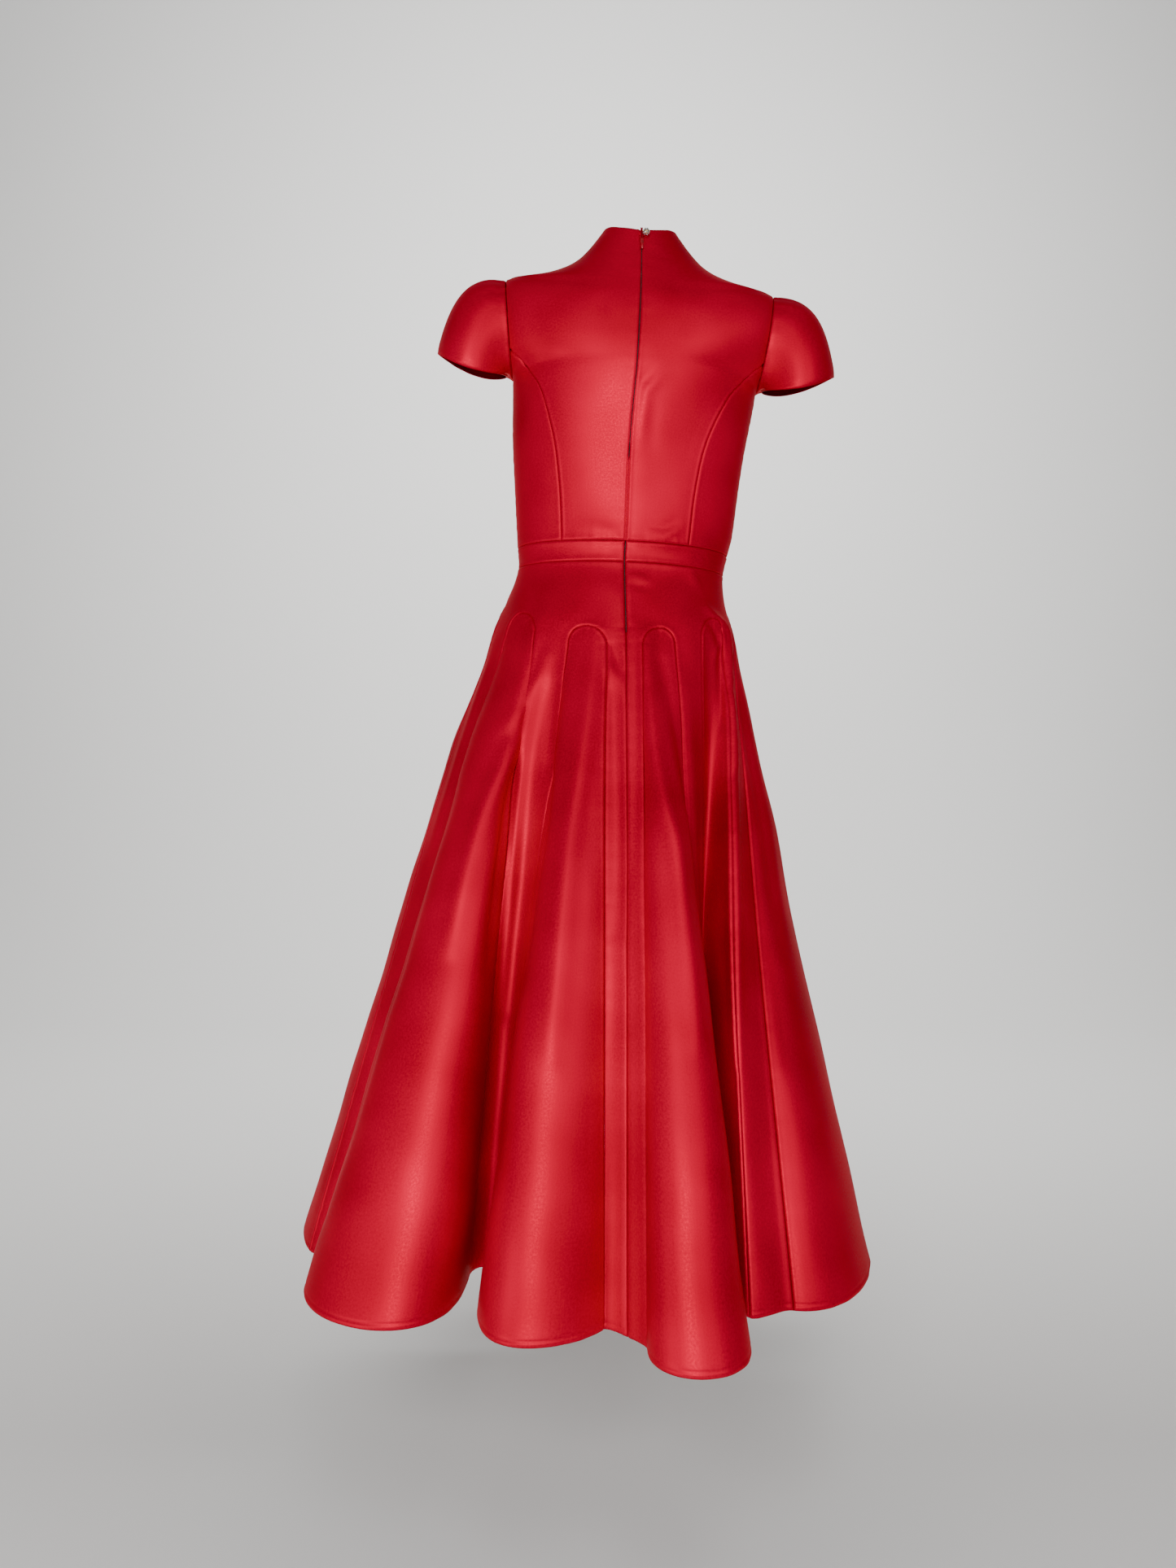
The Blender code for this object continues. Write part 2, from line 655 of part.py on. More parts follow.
def build_waistband():
    """Three pieces of waistband, parted at the zip and at the side seams."""
    slit, seam = ZIP_SLIT / 2, SEAM_GAP / 2
    left = waistband(0.0, 90.0, BACK_BAND_COLUMNS, slit, seam)
    right = waistband(-90.0, 0.0, BACK_BAND_COLUMNS, seam, slit)
    sew("waistband_back_left", [left])
    sew("waistband_back_right", [right])
    sew("waistband_front", [waistband(90.0, 270.0, FRONT_BAND_COLUMNS, seam, seam)])
    return left, right


def build_skirt():
    """Hip yoke with its fingers in three pieces, and the ten godets between the fingers."""
    half = GODET_SPACING / 2
    centres = [half + GODET_SPACING * step for step in range(GODET_COUNT)]
    columns = FINGER_COLUMNS
    back_left = skirt_cell(0.0, half, columns // 2, godet_before=False)
    back_right = skirt_cell(-half, 0.0, columns // 2, godet_after=False)
    left = [back_left] + [skirt_cell(a, a + GODET_SPACING, columns) for a in centres[0:2]]
    front = [skirt_cell(a, a + GODET_SPACING, columns) for a in centres[2:7]]
    right = [skirt_cell(a, a + GODET_SPACING, columns) for a in centres[7:9]] + [back_right]
    part_at_side(left[-1], -1)
    part_at_side(front[0], 0)
    part_at_side(front[-1], -1)
    part_at_side(right[0], 0)
    sew("skirt_back_left", left)
    sew("skirt_front", front)
    sew("skirt_back_right", right)
    for index, godet in enumerate(GODETS):
        sew("godet_" + godet.name, [godet_sheet(index)])
    return back_left, back_right


def part_at_side(sheet, end):
    """Move the side seam's edge of a skirt sheet inwards above the side godet, where two pieces meet."""
    inner = 1 if end == 0 else -2
    for row in sheet[:len(YOKE_STEPS) + 1]:
        way = row[inner].point - row[end].point
        row[end] = moved(row[end], way.normalized() * SEAM_GAP / 2)


def build_zip(back, band, skirt):
    """Tape behind the slit, the slider at its head and the pull tab that swings on the slider."""
    tape = zip_tape_sheet(back, band, skirt)
    sew("zip_tape", [tape], thickness=TAPE_THICKNESS)
    lacquer = painted("zip lacquer", (0.52, 0.01, 0.03), 0.35, 0.2)
    seat, down, outward = collar_frame(SLIDER_ASIDE, SLIDER_HEIGHT)
    lift = SEAM_GAP + SLIDER_SIZE[2] / 2
    slider = rounded_block("zip_slider", SLIDER_SIZE, SLIDER_EDGE, (0, 0, lift), lacquer)
    oriented(slider, seat, down, outward)
    below_hinge = PULL_SIZE[1] / 2 - PULL_EYE
    pull = rounded_block("zip_pull", PULL_SIZE, PULL_EDGE, (0, below_hinge, 0), lacquer)
    oriented(pull, seat + outward * HINGE_LIFT, down, outward)


def build_button():
    """Ball button on the right side of the collar and the cord loop that holds it from the left."""
    seat, down, outward = collar_frame(BUTTON_ASIDE, BUTTON_HEIGHT)
    radius = BUTTON_DIAMETER / 2
    mesh = bmesh.new()
    bmesh.ops.create_uvsphere(mesh, u_segments=16, v_segments=10, radius=radius)
    data = bpy.data.meshes.new("button")
    mesh.to_mesh(data)
    mesh.free()
    ball = add_object("button", data, painted("button", (0.82, 0.72, 0.50), 0.22, 0.9))
    oriented(ball, seat + outward * (radius + SEAM_GAP), down, outward)
    loop_points = loop_route(seat, down, outward)
    tube("button_loop", loop_points, LOOP_CORD / 2)


def loop_route(seat, down, outward):
    """Centre line of the loop: two ends on the left of the slit and a round turn about the button's foot."""
    across = Vector((1.0, 0.0, 0.0))
    foot = seat + outward * (SEAM_GAP + LOOP_CORD / 2)
    points = [foot + across * LOOP_LEG - down * LOOP_LEGS_HALF_GAP]
    for turn in spread(LOOP_OPENING, 360.0 - LOOP_OPENING, 14):
        angle = math.radians(turn)
        points.append(foot + (across * math.cos(angle) - down * math.sin(angle)) * LOOP_RADIUS)
    points.append(foot + across * LOOP_LEG + down * LOOP_LEGS_HALF_GAP)
    return points


def tube(name, points, radius):
    """Round cord along points, as a mesh with its end caps closed."""
    curve = bpy.data.curves.new(name, "CURVE")
    curve.dimensions = "3D"
    curve.bevel_depth = radius
    curve.bevel_resolution = 2
    curve.use_fill_caps = True
    spline = curve.splines.new("POLY")
    spline.points.add(len(points) - 1)
    for place, point in zip(spline.points, points):
        place.co = (*point, 1.0)
    curve.materials.append(satin(name))
    cord = bpy.data.objects.new(name, curve)
    bpy.data.collections["dress"].objects.link(cord)
    return cord


def clear_scene():
    """Remove what the scene holds, and make the dress's collection."""
    for piece in list(bpy.data.objects):
        bpy.data.objects.remove(piece, do_unlink=True)
    collection = bpy.data.collections.new("dress")
    bpy.context.scene.collection.children.link(collection)


def main():
    """Build the whole dress."""
    clear_scene()
    back = build_bodice()
    build_sleeves()
    band = build_waistband()
    skirt = build_skirt()
    build_zip(back, band, skirt)
    build_button()


main()
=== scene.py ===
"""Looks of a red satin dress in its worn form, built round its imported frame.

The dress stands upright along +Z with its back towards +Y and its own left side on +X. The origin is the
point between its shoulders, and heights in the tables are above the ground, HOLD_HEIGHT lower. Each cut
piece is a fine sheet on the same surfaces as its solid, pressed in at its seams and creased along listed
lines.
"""

import logging
import math
from dataclasses import dataclass, field
from enum import Enum
from typing import NamedTuple, Sequence

import bmesh
import bpy
import numpy as np
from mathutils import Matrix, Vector
from mathutils.kdtree import KDTree


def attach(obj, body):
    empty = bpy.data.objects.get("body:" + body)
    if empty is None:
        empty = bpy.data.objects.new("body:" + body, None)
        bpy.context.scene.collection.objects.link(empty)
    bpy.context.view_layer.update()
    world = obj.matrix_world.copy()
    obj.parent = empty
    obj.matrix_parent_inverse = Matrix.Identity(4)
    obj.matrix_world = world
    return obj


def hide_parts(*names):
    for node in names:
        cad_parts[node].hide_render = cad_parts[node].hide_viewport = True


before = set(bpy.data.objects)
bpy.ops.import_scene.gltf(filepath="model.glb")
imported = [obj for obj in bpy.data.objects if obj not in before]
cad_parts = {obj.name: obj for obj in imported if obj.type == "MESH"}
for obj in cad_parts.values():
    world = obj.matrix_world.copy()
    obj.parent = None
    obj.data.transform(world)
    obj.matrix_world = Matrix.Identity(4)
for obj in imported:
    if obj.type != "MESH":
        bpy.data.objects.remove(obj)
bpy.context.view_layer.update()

LOG = logging.getLogger("dress")
Array = np.ndarray
Material = bpy.types.Material
Node = bpy.types.Node
Piece = bpy.types.Object
Socket = bpy.types.NodeSocket
Tree = bpy.types.NodeTree

# Driving sizes in metres. Heights are above the ground.
HOLD_HEIGHT = 1.480
WAIST_SEAM = 1.131
WAISTBAND_WIDTH = 0.0255
HEM_HEIGHT = 0.330
TRIM_GAP = 0.0003
CLOTH = 0.0011
ZIP_SLIT = 0.0012
COLLAR_SLIT = 0.0030
ZIP_FOOT = 1.040
SLIDER_HEIGHT = 1.5340
BUTTON_HEIGHT = 1.5445

# Godets, spaced evenly round the hip
GODET_COUNT = 10
GODET_SPACING = 360.0 / GODET_COUNT
GODET_HALF_ANGLE = 9.0
GODET_TOP_RADIUS = 0.0225
GODET_TOP_AT_BACK = 1.044
GODET_TOP_RISE = 0.017
FOLD_GROWTH = 1.10
GIRTH_SHARE = 4.4

# Spacing of a sheet's points, and the closer points beside a seam, in metres
ROW_STEP = 0.0055
EDGE_POINTS = (0.0, 0.0008, 0.0018, 0.0032, 0.0055)
HEM_POINTS = (0.0, 0.0010, 0.0022, 0.0038, 0.0052, 0.0064, 0.0078, 0.0100)
SAME_POINT = 0.00002
SEAM_STEP = 0.0008

# Least share of its flat rectangle that a panel's worked-out area is taken to fill.
# Least share of its flat rectangle that a panel may say it fills
LEAST_FILLED = 0.31

# Direction that gives both sides of a seam the same place along it
ALONG_SEAMS = (0.8, 0.45, 1.0)


class Face(Enum):
    """Side of the dress that a bodice panel covers, as its direction along +Y."""

    BACK = 1
    FRONT = -1


class Side(Enum):
    """Left or right of the dress itself, as its direction along +X."""

    LEFT = 1
    RIGHT = -1


class End(Enum):
    """End of a panel's rows, as the number of its column."""

    START = 0
    LAST = -1


class Ring(NamedTuple):
    """Half widths and depths of the smooth body at a height."""

    height: float
    left: float
    right: float
    behind: float
    front: float


class Posture(NamedTuple):
    """Lean and tilt of the dress at a height."""

    height: float
    aside: float
    tilt: float


class ArmRow(NamedTuple):
    """Row of the bodice that ends on the armhole, at a turn from the armhole's top."""

    turn: float
    back_height: float
    behind: float
    front_height: float
    front: float


class NeckRow(NamedTuple):
    """Row of the bodice that ends on the shoulder seam or the collar."""

    aside: float
    seam_height: float
    back_height: float
    behind: float
    front_height: float
    front: float


class Princess(NamedTuple):
    """Place of the princess seam beside the centre at a height."""

    height: float
    aside: float


class Godet(NamedTuple):
    """Hem of a godet in plan as a cubic curve, and the dip of the finger after it."""

    name: str
    start: tuple[float, float]
    first_handle: tuple[float, float]
    second_handle: tuple[float, float]
    end: tuple[float, float]
    dip: float


RINGS = (
    Ring(0.330, 0.393, 0.290, 0.385, 0.360),
    Ring(0.650, 0.299, 0.220, 0.270, 0.255),
    Ring(0.904, 0.2225, 0.173, 0.175, 0.165),
    Ring(1.000, 0.184, 0.154, 0.138, 0.130),
    Ring(1.050, 0.168, 0.145, 0.119, 0.114),
    Ring(1.090, 0.150, 0.133, 0.104, 0.103),
    Ring(1.131, 0.135, 0.130, 0.089, 0.096),
    Ring(1.157, 0.137, 0.134, 0.087, 0.096),
    Ring(1.200, 0.141, 0.142, 0.086, 0.104),
    Ring(1.234, 0.144, 0.145, 0.087, 0.112),
    Ring(1.285, 0.149, 0.149, 0.091, 0.121),
    Ring(1.330, 0.1535, 0.1535, 0.096, 0.1235),
    Ring(1.374, 0.1575, 0.1575, 0.0993, 0.1185),
)
POSTURE = (
    Posture(0.330, 0.0205, 0.0),
    Posture(0.900, 0.0205, 0.0),
    Posture(1.030, 0.0205, 1.5),
    Posture(1.130, 0.0215, 2.3),
    Posture(1.160, 0.0200, 2.5),
    Posture(1.285, 0.0145, 3.1),
    Posture(1.370, 0.0065, 3.4),
    Posture(1.500, 0.0000, 3.4),
    Posture(1.600, -0.0010, 3.4),
)
ARM_ROWS = (
    ArmRow(155.0, 1.3800, 0.0994, 1.380, 0.1175),
    ArmRow(141.0, 1.3875, 0.0994, 1.387, 0.1162),
    ArmRow(128.0, 1.3970, 0.0993, 1.395, 0.1143),
    ArmRow(112.0, 1.4090, 0.0988, 1.405, 0.1115),
    ArmRow(90.0, 1.4260, 0.0973, 1.419, 0.1065),
    ArmRow(65.0, 1.4440, 0.0947, 1.434, 0.1000),
    ArmRow(40.0, 1.4590, 0.0913, 1.447, 0.0935),
    ArmRow(20.0, 1.4690, 0.0882, 1.457, 0.0880),
    ArmRow(0.0, 1.4780, 0.0850, 1.466, 0.0820),
)
NECK_ROWS = (
    NeckRow(0.1350, 1.5010, 1.490, 0.0808, 1.477, 0.0745),
    NeckRow(0.1056, 1.5110, 1.502, 0.0762, 1.488, 0.0675),
    NeckRow(0.0850, 1.5235, 1.514, 0.0714, 1.499, 0.0605),
    NeckRow(0.0700, 1.5385, 1.526, 0.0665, 1.511, 0.0540),
    NeckRow(0.0580, 1.5535, 1.539, 0.0618, 1.524, 0.0490),
    NeckRow(0.0465, 1.5700, 1.552, 0.0580, 1.537, 0.0455),
)
PRINCESS_SEAM = (
    Princess(1.1560, 0.0790),
    Princess(1.2060, 0.0825),
    Princess(1.2400, 0.0865),
    Princess(1.2750, 0.0925),
    Princess(1.3100, 0.1030),
    Princess(1.3470, 0.1185),
    Princess(1.3710, 0.1345),
    Princess(1.3800, 0.1425),
    Princess(1.3875, 0.1510),
    Princess(1.3970, 0.1620),
)
GODETS = (
    Godet("back_inner_left", (0.050, 0.391), (0.080, 0.437), (0.212, 0.482), (0.170, 0.278), 0.045),
    Godet("back_outer_left", (0.193, 0.278), (0.184, 0.490), (0.423, 0.372), (0.352, 0.235), 0.020),
    Godet("side_left", (0.381, 0.200), (0.411, 0.150), (0.417, 0.030), (0.390, -0.035), 0.028),
    Godet("front_outer_left", (0.375, -0.100), (0.436, -0.150), (0.318, -0.330), (0.245, -0.265), 0.024),
    Godet("front_inner_left", (0.200, -0.300), (0.245, -0.385), (0.045, -0.465), (0.015, -0.370), 0.026),
    Godet("front_inner_right", (-0.045, -0.360), (-0.080, -0.445), (-0.260, -0.330), (-0.200, -0.250), 0.028),
    Godet("front_outer_right", (-0.230, -0.190), (-0.272, -0.170), (-0.284, 0.010), (-0.248, 0.045), 0.026),
    Godet("side_right", (-0.243, 0.120), (-0.277, 0.230), (-0.208, 0.368), (-0.140, 0.350), 0.014),
    Godet("back_outer_right", (-0.093, 0.366), (-0.062, 0.335), (-0.036, 0.160), (-0.052, 0.325), 0.022),
    Godet("back_inner_right", (-0.075, 0.385), (-0.125, 0.500), (0.015, 0.522), (0.011, 0.431), 0.006),
)
BODICE_HEIGHTS = (1.374, 1.347, 1.315, 1.278, 1.240, 1.200)


class Profile:
    """A smooth curve through values at increasing places, flat past its ends."""

    def __init__(self, places: Sequence[float], values: Sequence[float]) -> None:
        """Keep the rows in rising order.

        Args:
            places: Where the values are, such as heights.
            values: The value at each place.
        """
        order = np.argsort(places)
        self.places = np.asarray(places, float)[order]
        self.values = np.asarray(values, float)[order]

    @classmethod
    def of(cls, table: Sequence, column: str) -> "Profile":
        """Curve of one column of a table whose rows have a height."""
        return cls([row.height for row in table], [getattr(row, column) for row in table])

    def at(self, place: Array) -> Array:
        """Value at each place."""
        places, values, last = self.places, self.values, len(self.places) - 1
        place = np.clip(place, places[0], places[-1])
        high = np.clip(np.searchsorted(places, place, side="right"), 1, last)
        low, before, after = high - 1, np.maximum(high - 2, 0), np.minimum(high + 1, last)
        span = places[high] - places[low]
        step = (place - places[low]) / span
        leave = span * (values[high] - values[before]) / (places[high] - places[before])
        arrive = span * (values[after] - values[low]) / (places[after] - places[low])
        square, cube = step**2, step**3
        start, end = 2 * cube - 3 * square + 1, 3 * square - 2 * cube
        leaving = (cube - 2 * square + step) * leave
        return start * values[low] + leaving + end * values[high] + (cube - square) * arrive


def cubic(corners: Array, part: Array) -> Array:
    """Points of cubic curves.

    Args:
        corners: The four corners of each curve, on the first axis.
        part: Share of the way along each curve.

    Returns:
        One point for each share.
    """
    part = part[..., None]
    rest = 1 - part
    first, second = 3 * rest**2 * part * corners[1], 3 * rest * part**2 * corners[2]
    return rest**3 * corners[0] + first + second + part**3 * corners[3]


class Body:
    """The smooth general form that the dress keeps: ovals at each height, with its lean and tilt."""

    def __init__(self) -> None:
        """Make a curve for each column of the tables."""
        self.width = {side: Profile.of(RINGS, side) for side in ("left", "right")}
        self.depth = {face: Profile.of(RINGS, face) for face in ("behind", "front")}
        self.lean = Profile.of(POSTURE, "aside")
        self.tilt = Profile.of(POSTURE, "tilt")

    def stand(self, aside: Array, behind: Array, height: Array) -> Array:
        """World points of points given beside the dress's own centre line."""
        tilt = np.radians(self.tilt.at(height))
        x = self.lean.at(height) + aside * np.cos(tilt)
        return np.stack((x, behind + 0 * x, height - HOLD_HEIGHT + aside * np.sin(tilt)), axis=-1)

    def ring(self, turn: Array, height: Array) -> Array:
        """Points of the rings, from the centre back at 0 degrees to the left side at 90."""
        angle = np.radians(turn - GIRTH_SHARE * np.sin(np.radians(2 * turn)))
        aside, behind = np.sin(angle), np.cos(angle)
        width = np.where(aside > 0, self.width["left"].at(height), self.width["right"].at(height))
        depth = np.where(behind > 0, self.depth["behind"].at(height), self.depth["front"].at(height))
        return self.stand(aside * width, behind * depth, height)


class Skirt:
    """Surface of the skirt: the smooth ring under the waist, with folds that grow to those of its hem."""

    def __init__(self, body: Body) -> None:
        """Work out the hem's curves.

        Args:
            body: The smooth form under the waistband.
        """
        self.body = body
        godets, fingers = [], []
        for index, godet in enumerate(GODETS):
            after = GODETS[(index + 1) % GODET_COUNT]
            godets.append((godet.start, godet.first_handle, godet.second_handle, godet.end))
            first = self.carried_on(godet.second_handle, godet.end, godet.dip)
            second = self.carried_on(after.first_handle, after.start, godet.dip)
            fingers.append((godet.end, first, second, after.start))
        self.curves = np.array([godets, fingers], float)

    @staticmethod
    def carried_on(handle: Sequence[float], corner: Sequence[float], length: float) -> tuple[float, float]:
        """Handle on the far side of a corner, so that the hem goes on smoothly through it."""
        away = (Vector(corner) - Vector(handle)).normalized() * length
        return corner[0] + away.x, corner[1] + away.y

    def hem(self, turn: Array) -> Array:
        """Points of the folded hem in plan, at the turns that their threads have at the waist."""
        turn = (turn - GODET_SPACING / 2 + GODET_HALF_ANGLE) % 360.0
        index = (turn // GODET_SPACING).astype(int)
        turn = turn - index * GODET_SPACING
        wide = 2 * GODET_HALF_ANGLE
        in_finger = turn > wide
        part = np.where(in_finger, (turn - wide) / (GODET_SPACING - wide), turn / wide)
        corners = np.moveaxis(self.curves[in_finger.astype(int), index], -2, 0)
        return cubic(corners, part)

    @staticmethod
    def godet_top(turn: Array) -> Array:
        """Height of the line that the round tops touch."""
        return GODET_TOP_AT_BACK + GODET_TOP_RISE * (1 - np.cos(np.radians(2 * turn)))

    def at(self, turn: Array, height: Array) -> Array:
        """Points of the skirt at turns and heights."""
        turn, height = np.broadcast_arrays(np.asarray(turn, float), np.asarray(height, float))
        points = self.body.ring(turn, height)
        top = self.godet_top(turn)
        growth = np.clip((top - height) / (top - HEM_HEIGHT), 0.0, None) ** FOLD_GROWTH
        smooth = self.body.ring(turn, np.full_like(height, HEM_HEIGHT))
        points[..., :2] += (self.hem(turn) - smooth[..., :2]) * growth[..., None]
        return points


@dataclass(frozen=True)
class Armhole:
    """Upright oval at the side of the bodice, in metres."""

    centre: float = 1.435
    half_height: float = 0.061
    half_depth: float = 0.052
    shoulder_tip: float = 0.1717
    underarm: float = 0.1575

    def at(self, turn: Array) -> tuple[Array, Array, Array]:
        """How far aside, behind and up its edge is, at turns from its top."""
        up, back = np.cos(np.radians(turn)), np.sin(np.radians(turn))
        aside = self.underarm + (self.shoulder_tip - self.underarm) * (1 + up) / 2
        return aside, self.half_depth * back, self.centre + self.half_height * up


class Bodice:
    """Surface of one face of the bodice, through rows that run from its centre to its edge."""

    shoulder_seam_back = 0.004
    armhole_hollow = 1.25

    def __init__(self, body: Body, armhole: Armhole, face: Face) -> None:
        """Make curves through the rows, broken where the edge turns a corner.

        Args:
            body: The smooth form below the underarm.
            armhole: The oval that the middle rows end on.
            face: Back or front.
        """
        self.body = body
        self.face = face
        back = face is Face.BACK
        centre, edge, hollow = [], [], []
        for row in reversed(NECK_ROWS):
            centre.append((row.behind, row.back_height) if back else (-row.front, row.front_height))
            edge.append((row.aside, self.shoulder_seam_back, row.seam_height))
            hollow.append(1.0)
        for row in reversed(ARM_ROWS):
            centre.append((row.behind, row.back_height) if back else (-row.front, row.front_height))
            aside, behind, height = armhole.at(np.array(row.turn))
            edge.append((float(aside), face.value * float(behind), float(height)))
            hollow.append(self.armhole_hollow if row.turn else 1.0)
        for height in (*BODICE_HEIGHTS, WAIST_SEAM + WAISTBAND_WIDTH):
            depth = body.depth["behind" if back else "front"].at(np.array(height))
            centre.append((face.value * float(depth), height))
            edge.append((float(body.width["left"].at(np.array(height))), 0.0, height))
            hollow.append(1.0)
        self.rows = len(centre)
        index = np.arange(self.rows)
        self.centre = [Profile(index, column) for column in np.array(centre).T]
        self.hollow = Profile(index, hollow)
        tip, underarm = len(NECK_ROWS), len(NECK_ROWS) + len(ARM_ROWS)
        self.corners = (tip, underarm)
        stretches = (slice(0, tip + 1), slice(tip, underarm + 1), slice(underarm, self.rows))
        columns = np.array(edge).T
        self.edges = [[Profile(index[part], column[part]) for column in columns] for part in stretches]

    def edge_at(self, row: Array) -> Array:
        """Edge of the rows: how far aside, behind and up."""
        stretch = (row > self.corners[0]).astype(int) + (row > self.corners[1]).astype(int)
        found = [np.stack([column.at(row) for column in part], axis=-1) for part in self.edges]
        return np.choose(stretch[..., None], found)

    def at(self, row: Array, turn: Array) -> Array:
        """Points at rows and turns, from the centre at 0 to the edges at 90 and -90 degrees."""
        row, turn = np.broadcast_arrays(np.asarray(row, float), np.asarray(turn, float))
        edge = self.edge_at(row)
        across = np.sin(np.radians(turn))
        inward = np.clip(np.cos(np.radians(turn)), 0.0, None) ** self.hollow.at(row)
        depth, middle = self.centre[0].at(row), self.centre[1].at(row)
        behind = edge[..., 1] + (depth - edge[..., 1]) * inward
        height = middle + (edge[..., 2] - middle) * across**2
        return self.body.stand(edge[..., 0] * across, behind, height)

    def princess(self, row: Array) -> Array:
        """Turn of the princess seam at rows."""
        aside = Profile.of(PRINCESS_SEAM, "aside").at(self.centre[1].at(row))
        return np.degrees(np.arcsin(np.clip(aside / self.edge_at(row)[..., 0], 0.0, 1.0)))

    def row_at(self, height: float) -> float:
        """Row whose centre is at a height."""
        rows = np.linspace(0.0, self.rows - 1.0, 4001)
        return float(np.interp(-height, -self.centre[1].at(rows), rows))

    def paced_rows(self, first: float, last: float, close_start: bool, close_end: bool) -> Array:
        """Rows from first to last at an even spacing down the panel, closer beside a seam."""
        rows = np.linspace(first, last, 801)
        line = (self.at(rows, np.zeros_like(rows)) + self.at(rows, np.full_like(rows, 70.0))) / 2
        walked = walked_along(line)
        return np.interp(paced(walked[-1], ROW_STEP, close_start, close_end), walked / walked[-1], rows)


@dataclass(frozen=True)
class Sleeve:
    """Cap sleeve from the armhole to its hem, long over the shoulder and narrow under the arm."""

    body: Body
    armhole: Armhole
    side: Side
    hem_aside: float = 0.211
    hem_reach: float = 0.047
    hem_half_depth: float = 0.062
    hem_height: float = 1.3895
    hem_rise: float = 0.0115
    front_rise: float = 0.0150
    hem_sag: float = 0.0090
    puff_out: float = 0.38
    puff_top: float = 0.08
    drop: float = 0.34
    drop_top: float = 0.11
    outward_way: tuple[float, float] = (0.30, 0.12)
    rise_way: tuple[float, float] = (-0.22, 0.10)

    def at(self, turn: Array, part: Array) -> Array:
        """Points at turns from the sleeve's top, from the armhole at 0 to the hem at 1."""
        turn, part = np.broadcast_arrays(np.asarray(turn, float), np.asarray(part, float))
        up, back = np.cos(np.radians(turn)), np.sin(np.radians(turn))
        aside, behind, height = self.armhole.at(turn)
        start = np.stack((aside, behind, height), axis=-1)
        lift = self.hem_rise * up - self.front_rise * back - self.hem_sag * back**2
        hem_line = (self.hem_aside + self.hem_reach * up, self.hem_half_depth * back, self.hem_height + lift)
        hem = np.stack(hem_line, axis=-1)
        reach = np.linalg.norm(hem - start, axis=-1, keepdims=True)
        to_back, to_top = self.outward_way
        outward = unit(np.stack((np.ones_like(up), to_back * back, to_top * up), axis=-1))
        to_side, to_back = self.rise_way
        rise = unit(np.stack((to_side * up, to_back * back, np.ones_like(up)), axis=-1))
        puff = (self.puff_out + self.puff_top * np.clip(up, 0.0, None))[..., None]
        drop = (self.drop + self.drop_top * up)[..., None]
        corners = np.stack((start, start + outward * reach * puff, hem + rise * reach * drop, hem))
        point = cubic(corners, part)
        return self.body.stand(self.side.value * point[..., 0], point[..., 1], point[..., 2])


def unit(vectors: Array) -> Array:
    """Vectors scaled to length one."""
    return vectors / np.maximum(np.linalg.norm(vectors, axis=-1, keepdims=True), 1e-12)


def walked_along(line: Array) -> Array:
    """Distance walked along a line at each of its points."""
    return np.concatenate(([0.0], np.cumsum(np.linalg.norm(np.diff(line, axis=0), axis=1))))


def stepped_along(line: Array, first: float, step: float) -> tuple[Array, Array]:
    """Distances at an even step along a line, and its points there."""
    walked = walked_along(line)
    places = np.arange(first, walked[-1], step)
    return places, np.stack([np.interp(places, walked, line[:, axis]) for axis in range(3)], axis=-1)


def paced(length: float, step: float, close_start: bool, close_end: bool) -> Array:
    """Shares of a length at an even step, with closer points beside a seam.

    Args:
        length: The whole length in metres.
        step: The even step in metres.
        close_start: Whether a seam is at the start.
        close_end: Whether a seam is at the end.

    Returns:
        Rising shares from 0 to 1.
    """
    start = np.array(EDGE_POINTS if close_start else (0.0,))
    end = length - np.array(EDGE_POINTS if close_end else (0.0,))[::-1]
    count = max(2, round((end[0] - start[-1]) / step))
    middle = np.linspace(start[-1], end[0], count + 1)
    return np.concatenate((start[:-1], middle, end[1:])) / length


def crowded(count: int, crowding: float = 0.8) -> Array:
    """Shares from 0 to 1 that crowd towards both ends, where the seams are."""
    even = np.linspace(0.0, 1.0, count + 1)
    return (1 - crowding) * even + crowding * (0.5 - 0.5 * np.cos(np.pi * even))


def drawn_in(points: Array, end: End, gap: Array) -> Array:
    """Rows of points with one end moved inwards along them by a gap, where they are wide enough."""
    points = points.copy()
    inner = 1 if end is End.START else -2
    wide = np.linalg.norm(points[:, -1] - points[:, 0], axis=-1) > 4 * gap
    points[:, end.value] += unit(points[:, inner] - points[:, end.value]) * (gap * wide)[:, None]
    return points


def outward_of(points: Array, flip: float) -> Array:
    """Outward directions of a grid of points, from its own rows and columns."""
    across = np.gradient(points, axis=1)
    down = np.gradient(points, axis=0)
    normal = np.cross(across, down) * flip
    weak = np.linalg.norm(normal, axis=-1) < 1e-12
    normal[weak] = normal[~weak].mean(axis=0)
    return unit(normal)


